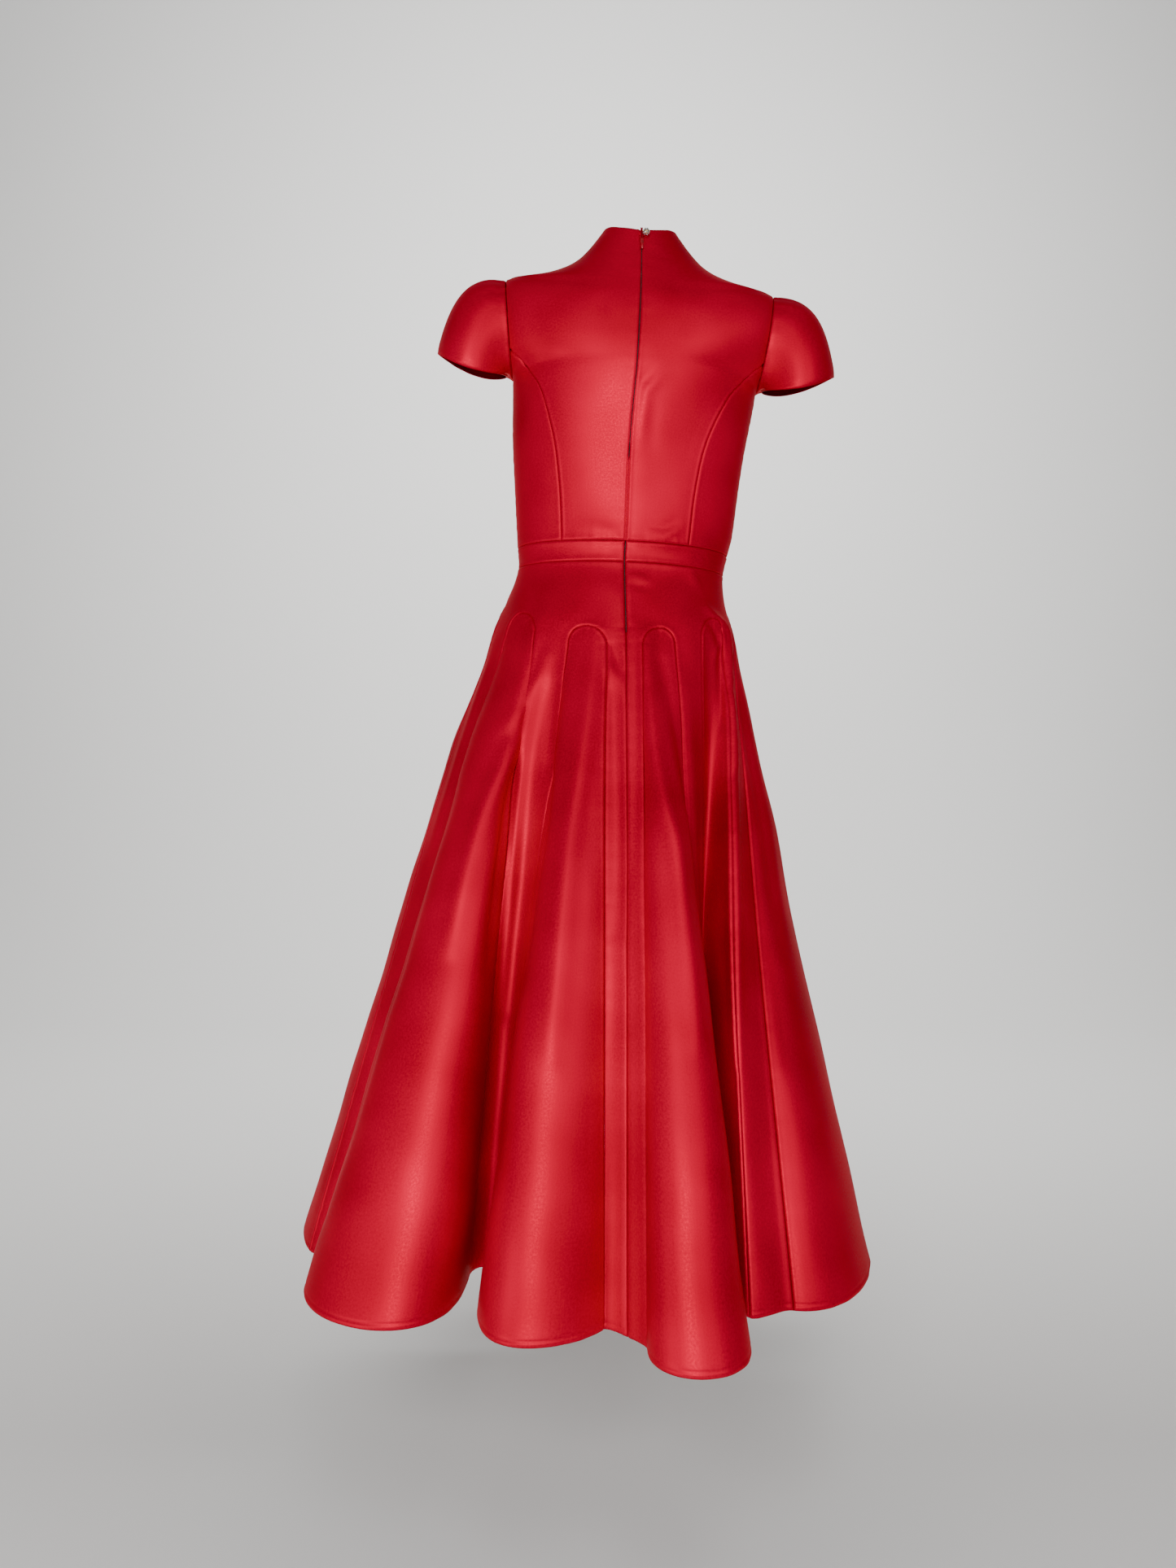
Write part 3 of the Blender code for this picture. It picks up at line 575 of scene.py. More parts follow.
@dataclass(frozen=True)
class Crease:
    """A soft ridge (depth above zero) or trough laid along a given line, in metres."""

    line: tuple[tuple[float, float, float], ...]
    width: float
    depth: float

    def push(self, points: Array) -> Array:
        """How far it moves each point out."""
        corners = np.array(self.line, float)
        lengths = np.linalg.norm(np.diff(corners, axis=0), axis=1)
        walked = np.concatenate(([0.0], np.cumsum(lengths))) / lengths.sum()
        nearest = np.full(points.shape[:-1], np.inf)
        along = np.zeros(points.shape[:-1])
        for index, length in enumerate(lengths):
            start, way = corners[index], corners[index + 1] - corners[index]
            share = np.clip(((points - start) @ way) / length**2, 0.0, 1.0)
            apart = np.linalg.norm(points - start - share[..., None] * way, axis=-1)
            closer = apart < nearest
            nearest = np.where(closer, apart, nearest)
            here = walked[index] + share * (walked[index + 1] - walked[index])
            along = np.where(closer, here, along)
        # It fades out towards both ends of its line, but not quite to nothing
        fade = np.sin(np.pi * np.clip(0.06 + 0.88 * along, 0.0, 1.0)) ** 0.7
        return self.depth * fade * np.exp(-((nearest / self.width) ** 2))


@dataclass(frozen=True)
class SeamPress:
    """How a sewn edge is pressed: a groove at the stitches, a thin roll beside it and uneven puckers."""

    groove: float = 0.0009
    groove_width: float = 0.0011
    roll: float = 0.00050
    roll_at: float = 0.0026
    roll_width: float = 0.0016
    pucker: float = 0.00030
    pucker_reach: float = 0.0085
    pucker_length: float = 0.0150

    def push(self, apart: Array, along: Array) -> Array:
        """How far it moves points out.

        Args:
            apart: Distance of each point from the seam.
            along: Place along the seam, the same on both of its sides.

        Returns:
            The move along the outward direction.
        """
        groove = -self.groove * np.exp(-((apart / self.groove_width) ** 2))
        roll = self.roll * np.exp(-(((apart - self.roll_at) / self.roll_width) ** 2))
        turn = 2 * np.pi * along / self.pucker_length
        wave = np.sin(turn) * (0.6 + 0.4 * np.sin(0.37 * turn + 0.9))
        wave += 0.5 * np.sin(1.83 * turn + 0.4)
        return groove + roll + self.pucker * wave * np.exp(-apart / self.pucker_reach)


@dataclass(frozen=True)
class HemPress:
    """A narrow rolled hem: its edge turns in, and a fine line of hand stitches dimples the cloth."""

    turn_in: float = 0.0012
    turn_width: float = 0.0014
    stitch_at: float = 0.0058
    stitch_depth: float = 0.00045
    stitch_width: float = 0.0010
    pucker: float = 0.00045
    pucker_reach: float = 0.0120
    pucker_length: float = 0.0260

    def push(self, apart: Array, along: Array) -> Array:
        """How far it moves points out, as SeamPress does."""
        edge = -self.turn_in * np.exp(-((apart / self.turn_width) ** 2))
        line = -self.stitch_depth * np.exp(-(((apart - self.stitch_at) / self.stitch_width) ** 2))
        turn = 2 * np.pi * along / self.pucker_length
        wave = np.sin(turn) * (0.5 + 0.5 * np.sin(0.31 * turn))
        return edge + line + self.pucker * wave * np.exp(-apart / self.pucker_reach)


@dataclass
class Panel:
    """A cut piece of cloth, as one or more grids of points that join along shared edges."""

    name: str
    flip: float = 1.0
    grids: list[Array] = field(default_factory=list)
    outward: list[Array] = field(default_factory=list)
    seams: list[Array] = field(default_factory=list)
    hems: list[Array] = field(default_factory=list)
    creases: Sequence[Crease] = ()
    ripple: float = 0.0004
    phase: float = 0.0

    @staticmethod
    def measured(points: Array, lines: Sequence[Array]) -> tuple[Array, Array]:
        """Distance of each point from the nearest line, and a place on it that its neighbours share."""
        apart = np.full(points.shape[:-1], 1.0)
        along = np.zeros(points.shape[:-1])
        if not lines:
            return apart, along
        spots = np.concatenate([stepped_along(line, 0.0, SEAM_STEP)[1] for line in lines])
        walks = spots @ np.array(ALONG_SEAMS)
        tree = KDTree(len(spots))
        for index, spot in enumerate(spots):
            tree.insert(spot, index)
        tree.balance()
        flat_apart, flat_along = apart.reshape(-1), along.reshape(-1)
        for index, point in enumerate(points.reshape(-1, 3)):
            _, found, distance = tree.find(point)
            flat_apart[index] = distance
            flat_along[index] = walks[found]
        return apart, along

    def shaped(self, points: Array, outward: Array) -> Array:
        """Grid of points with its seams, hem, creases and slight unevenness."""
        push = np.zeros(points.shape[:-1])
        apart, along = self.measured(points, self.seams)
        if self.seams:
            push += SeamPress().push(apart, along)
        if self.hems:
            from_hem, on_hem = self.measured(points, self.hems)
            push += HemPress().push(from_hem, on_hem)
        for crease in self.creases:
            push += crease.push(points)
        # Waves of unrelated lengths, so that the unevenness doesn't repeat
        x, y, z = points[..., 0], points[..., 1], points[..., 2]
        wave = np.sin(31 * x + 17 * z + self.phase) + np.sin(23 * y - 29 * z + 2 * self.phase)
        wave += 0.6 * np.sin(61 * x - 11 * z + 3 * self.phase) * np.sin(47 * z + 1.7)
        push += self.ripple * wave * np.clip(apart / 0.02, 0.0, 1.0)
        return points + outward * push[..., None]

    def build(self, satin: "Satin", reverse: "Satin") -> Piece:
        """Sew the grids into one mesh with its face, its reverse and a thin wall.

        Args:
            satin: Finish of the cloth's face.
            reverse: Finish of its inner side.

        Returns:
            The piece, at the origin.
        """
        mesh = bmesh.new()
        rule = mesh.verts.layers.float_vector.new("rule")
        for index, points in enumerate(self.grids):
            rows, columns = points.shape[:2]
            outward = self.outward[index] if self.outward else outward_of(points, self.flip)
            shaped = self.shaped(points, outward)
            rulers = rule_of(points)
            made = bmesh.ops.create_grid(mesh, x_segments=columns - 1, y_segments=rows - 1, size=1.0)
            for vertex in made["verts"]:
                column = round((vertex.co.x + 1) / 2 * (columns - 1))
                row = round((1 - vertex.co.y) / 2 * (rows - 1))
                vertex.co = shaped[row, column]
                vertex[rule] = rulers[row, column]
            if self.flip > 0:
                faces = list({face for vertex in made["verts"] for face in vertex.link_faces})
                bmesh.ops.reverse_faces(mesh, faces=faces)
        bmesh.ops.remove_doubles(mesh, verts=mesh.verts, dist=SAME_POINT)
        for face in mesh.faces:
            face.smooth = True
        data = finished(mesh, self.name)
        ruled_map(data, "rule")
        piece = place(self.name, data, [satin.material(), reverse.material()])
        wall = piece.modifiers.new("wall", "SOLIDIFY")
        wall.thickness = CLOTH
        wall.offset = -1.0
        wall.material_offset = 1
        wall.material_offset_rim = 0
        return piece


def rule_of(points: Array) -> Array:
    """Woven coordinates of a grid in metres: across from its middle column, and down from its top row."""
    across = np.linalg.norm(np.diff(points, axis=1), axis=-1)
    walked = np.concatenate((np.zeros((len(points), 1)), np.cumsum(across, axis=1)), axis=1)
    middle = points.shape[1] // 2
    down = points[..., 2]
    return np.stack((walked - walked[:, middle : middle + 1], down, 0 * down), axis=-1)


def ruled_map(data: bpy.types.Mesh, layer: str) -> None:
    """Turn the woven coordinates of the points into the mesh's UV map, in metres."""
    rulers = np.zeros(len(data.vertices) * 3, np.float32)
    data.attributes[layer].data.foreach_get("vector", rulers)
    corners = np.zeros(len(data.loops), np.int32)
    data.loops.foreach_get("vertex_index", corners)
    woven = data.uv_layers.new(name="woven")
    woven.data.foreach_set("uv", rulers.reshape(-1, 3)[corners, :2].ravel())
    data.attributes.remove(data.attributes[layer])


def finished(mesh: bmesh.types.BMesh, name: str) -> bpy.types.Mesh:
    """Mesh data made from the points and faces of a bmesh, which is freed."""
    data = bpy.data.meshes.new(name)
    mesh.to_mesh(data)
    mesh.free()
    return data


def place(name: str, data: bpy.types.Mesh, materials: Sequence[Material]) -> Piece:
    """Put a mesh into the scene as a piece at the origin."""
    for material in materials:
        data.materials.append(material)
    piece = bpy.data.objects.new(name, data)
    bpy.context.scene.collection.objects.link(piece)
    return piece


def linear(code: str) -> tuple[float, float, float, float]:
    """Linear colour of an sRGB hex code such as #A0B1C2."""
    parts = [int(code[start : start + 2], 16) / 255 for start in (1, 3, 5)]
    levels = [part / 12.92 if part <= 0.04045 else ((part + 0.055) / 1.055) ** 2.4 for part in parts]
    return levels[0], levels[1], levels[2], 1.0


def add_node(tree: Tree, kind: str, links: dict | None = None, **settings) -> Node:
    """Add a node to a material.

    Args:
        tree: The material's nodes.
        kind: Blender's name of the node type.
        links: Value, or output to link, for each input by name or number.
        settings: Properties of the node.

    Returns:
        The node.
    """
    node = tree.nodes.new(kind)
    for name, value in settings.items():
        setattr(node, name, value)
    for key, value in (links or {}).items():
        socket = node.inputs[key]
        if isinstance(value, Socket):
            tree.links.new(value, socket)
        else:
            socket.default_value = value
    return node


def new_material(name: str) -> tuple[Material, Tree, Node]:
    """A material with its nodes and its Principled shader."""
    material = bpy.data.materials.new(name)
    material.use_nodes = True
    return material, material.node_tree, material.node_tree.nodes["Principled BSDF"]


def set_inputs(shader: Node, values: dict) -> None:
    """Set a shader's inputs by name."""
    for name, value in values.items():
        shader.inputs[name].default_value = value


def spread(tree: Tree, value: Socket, source: tuple[float, float], target: tuple[float, float]) -> Socket:
    """Map a value from one range to another."""
    limits = dict(zip(("From Min", "From Max", "To Min", "To Max"), (*source, *target)))
    return add_node(tree, "ShaderNodeMapRange", {"Value": value, **limits}).outputs[0]


def woven_map(tree: Tree) -> Socket:
    """Woven coordinates of the surface, in metres."""
    return add_node(tree, "ShaderNodeUVMap", uv_map="woven").outputs["UV"]


def place_on(tree: Tree) -> Socket:
    """Place on the piece, in metres."""
    return add_node(tree, "ShaderNodeTexCoord").outputs["Object"]


def noise(tree: Tree, vector: Socket, scale: float, **inputs) -> Socket:
    """Soft noise at a scale, with any other inputs by name."""
    return add_node(tree, "ShaderNodeTexNoise", {"Vector": vector, "Scale": scale, **inputs}).outputs["Fac"]


def toned(
    tree: Tree, shader: Node, share: Socket, codes: tuple[str, str], stops: tuple[float, float] = (0.0, 1.0)
) -> None:
    """Colour a shader between two hex codes by a share, from one stop to the other."""
    ramp = add_node(tree, "ShaderNodeValToRGB", {"Fac": share})
    for index, (stop, code) in enumerate(zip(stops, codes)):
        ramp.color_ramp.elements[index].position = stop
        ramp.color_ramp.elements[index].color = linear(code)
    tree.links.new(ramp.outputs[0], shader.inputs["Base Color"])


def bumped(tree: Tree, shader: Node, height: Socket, strength: float, depth: float) -> None:
    """Bump a shader's surface by a height, to a depth in metres."""
    bump = add_node(tree, "ShaderNodeBump", {"Height": height, "Strength": strength, "Distance": depth})
    tree.links.new(bump.outputs[0], shader.inputs["Normal"])


class Finish:
    """A finish that has one material, made the first time it is asked for."""

    name: str

    def paint(self, tree: Tree, shader: Node) -> None:
        """Give the material its look.

        Args:
            tree: The material's nodes.
            shader: Its Principled shader.
        """
        raise NotImplementedError

    def material(self) -> Material:
        """The one material of this finish."""
        if self.name in bpy.data.materials:
            return bpy.data.materials[self.name]
        material, tree, shader = new_material(self.name)
        self.paint(tree, shader)
        return material


@dataclass(frozen=True)
class Satin(Finish):
    """Heavy duchess satin, woven from filament yarn with long floats on its face.

    The floats give a broad soft sheen in the cloth's own colour, with a fine grain where they catch the
    light. The reverse shows the short side of the floats, and is matt; its darker colour is painted shade.
    """

    name: str
    deep: str
    bright: str
    roughness: float
    sheen: float
    lustre: float
    thread_mm: float = 2.2
    slub_mm: float = 28.0
    cloud_mm: float = 120.0
    grain: float = 0.11
    grain_depth: float = 0.0004
    speck_share: float = 0.8
    speck_middle: float = 0.40
    rough_swing: float = 0.10
    gloss_tint: str = "#FF2040"
    sheen_tint: str = "#FF2030"

    def paint(self, tree: Tree, shader: Node) -> None:
        """Clouded and grained colour, a grained gloss that is drawn along the floats, and fine slubs."""
        woven = woven_map(tree)
        # A real float is 0.15 mm wide. It is drawn 2.2 mm wide, the finest grain that the picture can hold.
        threads = 1000 / self.thread_mm
        grain = noise(tree, woven, threads, Detail=2.0, Roughness=0.6)
        stretching = {"Vector": woven, "Scale": (threads, 1000 / self.slub_mm, 1.0)}
        slubs = noise(tree, add_node(tree, "ShaderNodeMapping", stretching).outputs[0], 1.0, Detail=1.0)
        clouds = noise(tree, place_on(tree), 1000 / self.cloud_mm, Detail=2.0)
        tone = spread(tree, clouds, (0.3, 0.7), (0.05, 0.65))
        specks = {0: grain, 1: self.speck_share, 2: tone}
        speck = add_node(tree, "ShaderNodeMath", specks, operation="MULTIPLY_ADD")
        settle = {0: speck.outputs[0], 1: self.speck_middle}
        settled = add_node(tree, "ShaderNodeMath", settle, operation="SUBTRACT")
        # Float and RGBA mixes share socket names, so the mix is wired by socket numbers
        ends = {0: settled.outputs[0], 6: linear(self.deep), 7: linear(self.bright)}
        colour = add_node(tree, "ShaderNodeMix", ends, data_type="RGBA")
        tree.links.new(colour.outputs[2], shader.inputs["Base Color"])
        swing = (self.roughness - self.rough_swing, self.roughness + self.rough_swing)
        tree.links.new(spread(tree, grain, (0.25, 0.75), swing), shader.inputs["Roughness"])
        weave = add_node(tree, "ShaderNodeMath", {0: grain, 1: slubs}, operation="ADD")
        bumped(tree, shader, weave.outputs[0], self.grain, self.grain_depth)
        floats = add_node(tree, "ShaderNodeTangent", direction_type="UV_MAP", uv_map="woven")
        tree.links.new(floats.outputs[0], shader.inputs["Tangent"])
        # Light that is thrown back has gone through the dyed filaments, so most of the gloss is red
        gloss = {"Metallic": self.lustre, "Anisotropic": 0.30, "IOR": 1.54, "Specular IOR Level": 0.08}
        sheen = {"Sheen Weight": self.sheen, "Sheen Roughness": 0.40, "Sheen Tint": linear(self.sheen_tint)}
        set_inputs(shader, {**gloss, "Specular Tint": linear(self.gloss_tint), **sheen})


SATIN_FACE = Satin("red_satin_face", "#AC0024", "#D80036", 0.48, 0.0, 0.52)
# The reverse is the matt side of the same red cloth, drawn darker as painted shade of the dress's inside
SATIN_REVERSE_PAINTED_SHADE = Satin("red_satin_reverse_painted_shade", "#6A0012", "#820018", 0.70, 0.02, 0.10)


@dataclass(frozen=True)
class Tape(Finish):
    """Red twill tape of the zip, drawn near black as painted shade of the narrow slit over it."""

    name: str = "red_zip_tape"
    # Near-black reds: the tape's own red darkened as painted shade of the slit
    codes: tuple[str, str] = ("#2C0006", "#3C0008")
    rib_mm: float = 1.6

    def paint(self, tree: Tree, shader: Node) -> None:
        """Twill ribs slanting across the tape, matt."""
        wave = {"Vector": woven_map(tree), "Scale": 1000 / self.rib_mm / math.tau, "Distortion": 0.4}
        ribs = add_node(tree, "ShaderNodeTexWave", wave, bands_direction="DIAGONAL").outputs["Fac"]
        toned(tree, shader, ribs, self.codes)
        bumped(tree, shader, ribs, 0.3, 0.0003)
        set_inputs(shader, {"Roughness": 0.75})


@dataclass(frozen=True)
class Nylon(Finish):
    """Dyed nylon monofilament of the zip's coil, smooth and slightly clear, drawn near black as painted shade
    of the slit.
    """

    name: str = "red_nylon_coil"
    # Near-black red: the coil's own red darkened as painted shade of the slit
    code: str = "#46000A"

    def paint(self, tree: Tree, shader: Node) -> None:
        """Glossy plastic with faint drawing lines."""
        bumped(tree, shader, noise(tree, woven_map(tree), 2500.0), 0.15, 0.0001)
        set_inputs(shader, {"Base Color": linear(self.code), "Roughness": 0.35, "IOR": 1.53})


@dataclass(frozen=True)
class Lacquer(Finish):
    """Zinc casting under red enamel, smooth with slight orange peel."""

    name: str = "red_enamel"
    codes: tuple[str, str] = ("#A00018", "#B82030")
    stops: tuple[float, float] = (0.62, 0.80)

    def paint(self, tree: Tree, shader: Node) -> None:
        """Enamel with small paler worn spots."""
        peel = noise(tree, place_on(tree), 900.0, Detail=2.0)
        toned(tree, shader, peel, self.codes, self.stops)
        bumped(tree, shader, peel, 0.15, 0.0001)
        set_inputs(shader, {"Roughness": 0.42, "Coat Weight": 0.1})


@dataclass(frozen=True)
class Metal(Finish):
    """Pale gold plate over brass, cast and polished."""

    name: str = "pale_gold_plate"
    codes: tuple[str, str] = ("#B99A5C", "#D9C08A")

    def paint(self, tree: Tree, shader: Node) -> None:
        """Polished plate with faint casting marks."""
        marks = noise(tree, place_on(tree), 1500.0, Detail=1.0)
        toned(tree, shader, marks, self.codes)
        bumped(tree, shader, marks, 0.1, 0.0001)
        set_inputs(shader, {"Metallic": 1.0, "Roughness": 0.22})


@dataclass(frozen=True)
class Stone(Finish):
    """Clear cut glass, foiled behind so that it throws the light back."""

    name: str = "clear_cut_stone"
    # White and grey ends of the painted glints on the clear stone
    codes: tuple[str, str] = ("#F4F6FA", "#8F949C")

    def paint(self, tree: Tree, shader: Node) -> None:
        """Painted glints: bright spots fading to grey over the facets, for the light that the foil throws
        back.
        """
        painted_glints = add_node(tree, "ShaderNodeTexVoronoi", {"Vector": place_on(tree), "Scale": 1400.0})
        toned(tree, shader, painted_glints.outputs["Distance"], self.codes)
        set_inputs(shader, {"Metallic": 0.55, "Roughness": 0.08, "IOR": 1.62, "Coat Weight": 1.0})


def dressed(piece: Piece, node: str, body: str = "dress") -> Piece:
    """Let a piece stand for its solid and ride its body."""
    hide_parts(node)
    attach(piece, body)
    LOG.info("%s stands for %s", piece.name, node)
    return piece


def dress_panel(panel: Panel) -> None:
    """Make a panel in satin; the size that it was cut to, flat along its own rows and columns, is worked out
    but not used.

    Args:
        panel: The panel.
    """
    piece = panel.build(SATIN_FACE, SATIN_REVERSE_PAINTED_SHADE)
    piece.name = "satin_" + panel.name
    dressed(piece, panel.name)
    width, length, area = 0.0, 0.0, 0.0
    for points in panel.grids:
        across = np.linalg.norm(np.diff(points, axis=1), axis=-1)
        down = np.linalg.norm(np.diff(points, axis=0), axis=-1)
        width += float(across.sum(axis=1).max())
        length = max(length, float(down.sum(axis=0).max()))
        side, drop = np.diff(points[:-1], axis=1), np.diff(points[:, :-1], axis=0)
        area += float(np.linalg.norm(np.cross(side, drop), axis=-1).sum())
    area = min(max(area, LEAST_FILLED * width * length), width * length)


# The bodice's foot is drawn in to the waistband at the dress's right side, where the band is narrower
FOOT_LINE = (
    (-0.0604, 0.0703, -0.33),
    (-0.0967, 0.0453, -0.33),
    (-0.1166, 0.0, -0.33),
    (-0.1005, -0.0452, -0.33),
    (-0.067, -0.074, -0.329),
)
FOOT_NIP = Crease(FOOT_LINE, 0.017, -0.0032)


@dataclass
class BodiceWork:
    """The five panels of the bodice and its collar."""

    body: Body
    armhole: Armhole
    back_columns: int = 40
    side_columns: int = 20
    front_columns: int = 96
    back_creases: tuple[Crease, ...] = (
        Crease(((-0.026, 0.0958, -0.118), (-0.004, 0.0962, -0.144), (-0.001, 0.0915, -0.2)), 0.0075, 0.002),
        Crease(((-0.016, 0.0962, -0.118), (0.003, 0.0962, -0.136), (0.005, 0.0935, -0.165)), 0.007, -0.0014),
        Crease(((-0.015, 0.093, -0.15), (-0.01, 0.091, -0.185), (-0.014, 0.089, -0.225)), 0.011, -0.001),
        Crease(((0.052, 0.0903, -0.022), (0.049, 0.0946, -0.05)), 0.008, -0.001),
        Crease(((-0.104, 0.0735, -0.0175), (-0.131, 0.063, -0.0115)), 0.006, 0.0011),
        Crease(((0.038, 0.064, 0.04), (0.02, 0.067, 0.038), (0.003, 0.069, 0.04)), 0.0035, -0.0007),
        Crease(((0.028, 0.062, 0.048), (0.003, 0.065, 0.049)), 0.003, -0.0005),
        Crease(((-0.004, 0.0704, 0.037), (-0.02, 0.069, 0.0345), (-0.038, 0.0655, 0.033)), 0.0035, -0.0008),
        Crease(((-0.004, 0.067, 0.0445), (-0.026, 0.0645, 0.042)), 0.003, -0.0006),
        Crease(((-0.009, 0.086, -0.313), (-0.028, 0.0835, -0.3165), (-0.048, 0.077, -0.306)), 0.005, 0.0021),
        Crease(((-0.006, 0.087, -0.305), (-0.026, 0.0845, -0.3085), (-0.044, 0.079, -0.3)), 0.005, -0.0016),
        Crease(((0.07, 0.075, -0.302), (0.04, 0.084, -0.312), (0.024, 0.088, -0.318)), 0.007, 0.0012),
        Crease(((0.143, 0.065, -0.02), (0.124, 0.076, -0.08), (0.116, 0.074, -0.125)), 0.016, -0.0012),
        Crease(((-0.085, 0.074, -0.27), (-0.08, 0.069, -0.318)), 0.008, 0.001),
    )
    front_creases: tuple[Crease, ...] = (
        Crease(((0.09, -0.098, -0.115), (0.05, -0.116, -0.145), (0.02, -0.12, -0.19)), 0.011, -0.0012),
        Crease(((-0.082, -0.101, -0.12), (-0.042, -0.117, -0.16), (-0.02, -0.116, -0.21)), 0.01, -0.0011),
        Crease(((0.1, -0.07, -0.29), (0.06, -0.09, -0.308)), 0.007, 0.0012),
        Crease(((-0.07, -0.087, -0.298), (-0.02, -0.1, -0.312)), 0.0065, 0.0012),
        Crease(((0.03, -0.056, 0.024), (-0.006, -0.06, 0.021)), 0.0045, -0.0008),
        Crease(((-0.035, -0.06, 0.012), (-0.01, -0.063, 0.009)), 0.005, -0.0008),
    )

    @staticmethod
    def sided(
        name: str, side: Side, points: Array, hemmed: bool, creases: tuple[Crease, ...], phase: float
    ) -> Panel:
        """Panel of one side. Its columns run from the dress's right to its left."""
        seams = [points[:, 0], points[:, -1], points[-1]]
        if side is Side.RIGHT:
            points = points[:, ::-1]
        hems = [points[0]] if hemmed else []
        name = f"{name}_{side.name.lower()}"
        return Panel(name, grids=[points], seams=seams, hems=hems, creases=creases, phase=phase * side.value)

    def back(self, side: Side) -> Panel:
        """Back panel from the zip to the princess seam, armhole and shoulder seam."""
        form = Bodice(self.body, self.armhole, Face.BACK)
        rows = form.paced_rows(0.0, form.rows - 1.0, True, True)
        edge = form.princess(rows)
        edge[rows < form.row_at(PRINCESS_SEAM[-1].height)] = 90.0
        points = form.at(rows[:, None], side.value * edge[:, None] * crowded(self.back_columns)[None, :])
        slit = np.where(form.centre[1].at(rows) > SLIDER_HEIGHT, COLLAR_SLIT, ZIP_SLIT)
        points = drawn_in(points, End.START, slit / 2)
        return self.sided("bodice_back", side, points, True, self.back_creases, 1.3)

    def side_back(self, side: Side) -> Panel:
        """Side back panel, which ends in a point at the armhole."""
        form = Bodice(self.body, self.armhole, Face.BACK)
        rows = form.paced_rows(form.row_at(PRINCESS_SEAM[-1].height), form.rows - 1.0, False, True)
        start = form.princess(rows)[:, None]
        turns = start + (90.0 - start) * crowded(self.side_columns)[None, :]
        points = form.at(rows[:, None], side.value * turns)
        return self.sided("bodice_side_back", side, points, False, (FOOT_NIP,), 2.2)

    def front(self) -> Panel:
        """Front in one panel."""
        form = Bodice(self.body, self.armhole, Face.FRONT)
        rows = form.paced_rows(0.0, form.rows - 1.0, True, True)
        points = form.at(rows[:, None], 90.0 - 180.0 * crowded(self.front_columns)[None, :])
        seams, hems = [points[:, 0], points[:, -1], points[-1]], [points[0]]
        creases = (*self.front_creases, FOOT_NIP)
        return Panel("bodice_front", grids=[points], seams=seams, hems=hems, creases=creases, phase=0.7)

    def build(self) -> None:
        """Make and dress all five panels."""
        panels = [self.front()]
        for side in Side:
            panels += [self.back(side), self.side_back(side)]
        for panel in panels:
            dress_panel(panel)


@dataclass
class SleeveWork:
    """The two cap sleeves, eased into the armhole over the shoulder."""

    body: Body
    armhole: Armhole
    turns: int = 96
    rows: int = 26
    length: float = 0.09
    first_row: float = 0.06
    ease_counts: tuple[int, int] = (17, 29)
    ease_over: float = 1.5
    ease_depth: float = 0.0009
    ease_reach: float = 0.30

    def build(self) -> None:
        """Make and dress both sleeves."""
        parts = (np.array(EDGE_POINTS[:-1]) / self.length, np.linspace(self.first_row, 1.0, self.rows))
        parts = np.concatenate(parts)
        turns = np.linspace(0.0, 360.0, self.turns + 1)
        over = np.clip(np.cos(np.radians(turns)), 0.0, None) ** self.ease_over
        many, more = self.ease_counts
        gather = np.sin(np.radians(turns) * many) + 0.5 * np.sin(np.radians(turns) * more + 1.0)
        reach = np.exp(-((parts / self.ease_reach) ** 2))[:, None]
        ease = (self.ease_depth * over * gather * reach)[..., None]
        for side in Side:
            points = Sleeve(self.body, self.armhole, side).at(turns[None, :], parts[:, None])
            points = points + outward_of(points, -side.value) * ease
            name, phase = f"sleeve_{side.name.lower()}", 0.9 * side.value
            panel = Panel(name, -side.value, [points], seams=[points[0]], hems=[points[-1]], phase=phase)
            dress_panel(panel)


@dataclass
class WaistWork:
    """The waistband in three pieces, parted at the zip and at the side seams."""

    body: Body
    columns: int = 44
    crowding: float = 0.5
    creases: tuple[Crease, ...] = (
        Crease(((-0.012, 0.088, -0.329), (-0.042, 0.082, -0.33)), 0.005, 0.001),
        Crease(((-0.07, 0.07, -0.327), (-0.056, 0.076, -0.348)), 0.006, 0.0009),
        Crease(((0.04, 0.086, -0.33), (0.015, 0.089, -0.333)), 0.005, -0.0006),
    )

    def panel(self, name: str, start: float, end: float, zip_at: End | None) -> Panel:
        """One piece of the band between two turns, with the zip at one of its ends or at none."""
        columns = round(self.columns * (end - start) / 90.0)
        top, bottom = WAIST_SEAM + WAISTBAND_WIDTH, WAIST_SEAM
        heights = top - (top - bottom) * paced(top - bottom, ROW_STEP, True, True)
        turns = start + (end - start) * crowded(columns, self.crowding)
        points = self.body.ring(turns[None, :], heights[:, None] + 0 * turns[None, :])
        if zip_at is not None:
            points = drawn_in(points, zip_at, np.full(len(heights), ZIP_SLIT / 2))
        seams = [points[0], points[-1], points[:, 0], points[:, -1]]
        return Panel(name, grids=[points], seams=seams, creases=self.creases, ripple=0.0002, phase=start / 50)

    def build(self) -> None:
        """Make and dress the three pieces."""
        dress_panel(self.panel("waistband_back_left", 0.0, 90.0, End.START))
        dress_panel(self.panel("waistband_back_right", -90.0, 0.0, End.LAST))
        dress_panel(self.panel("waistband_front", 90.0, 270.0, None))


FoldRows = tuple[tuple[tuple[tuple[float, float], ...], float, float], ...]


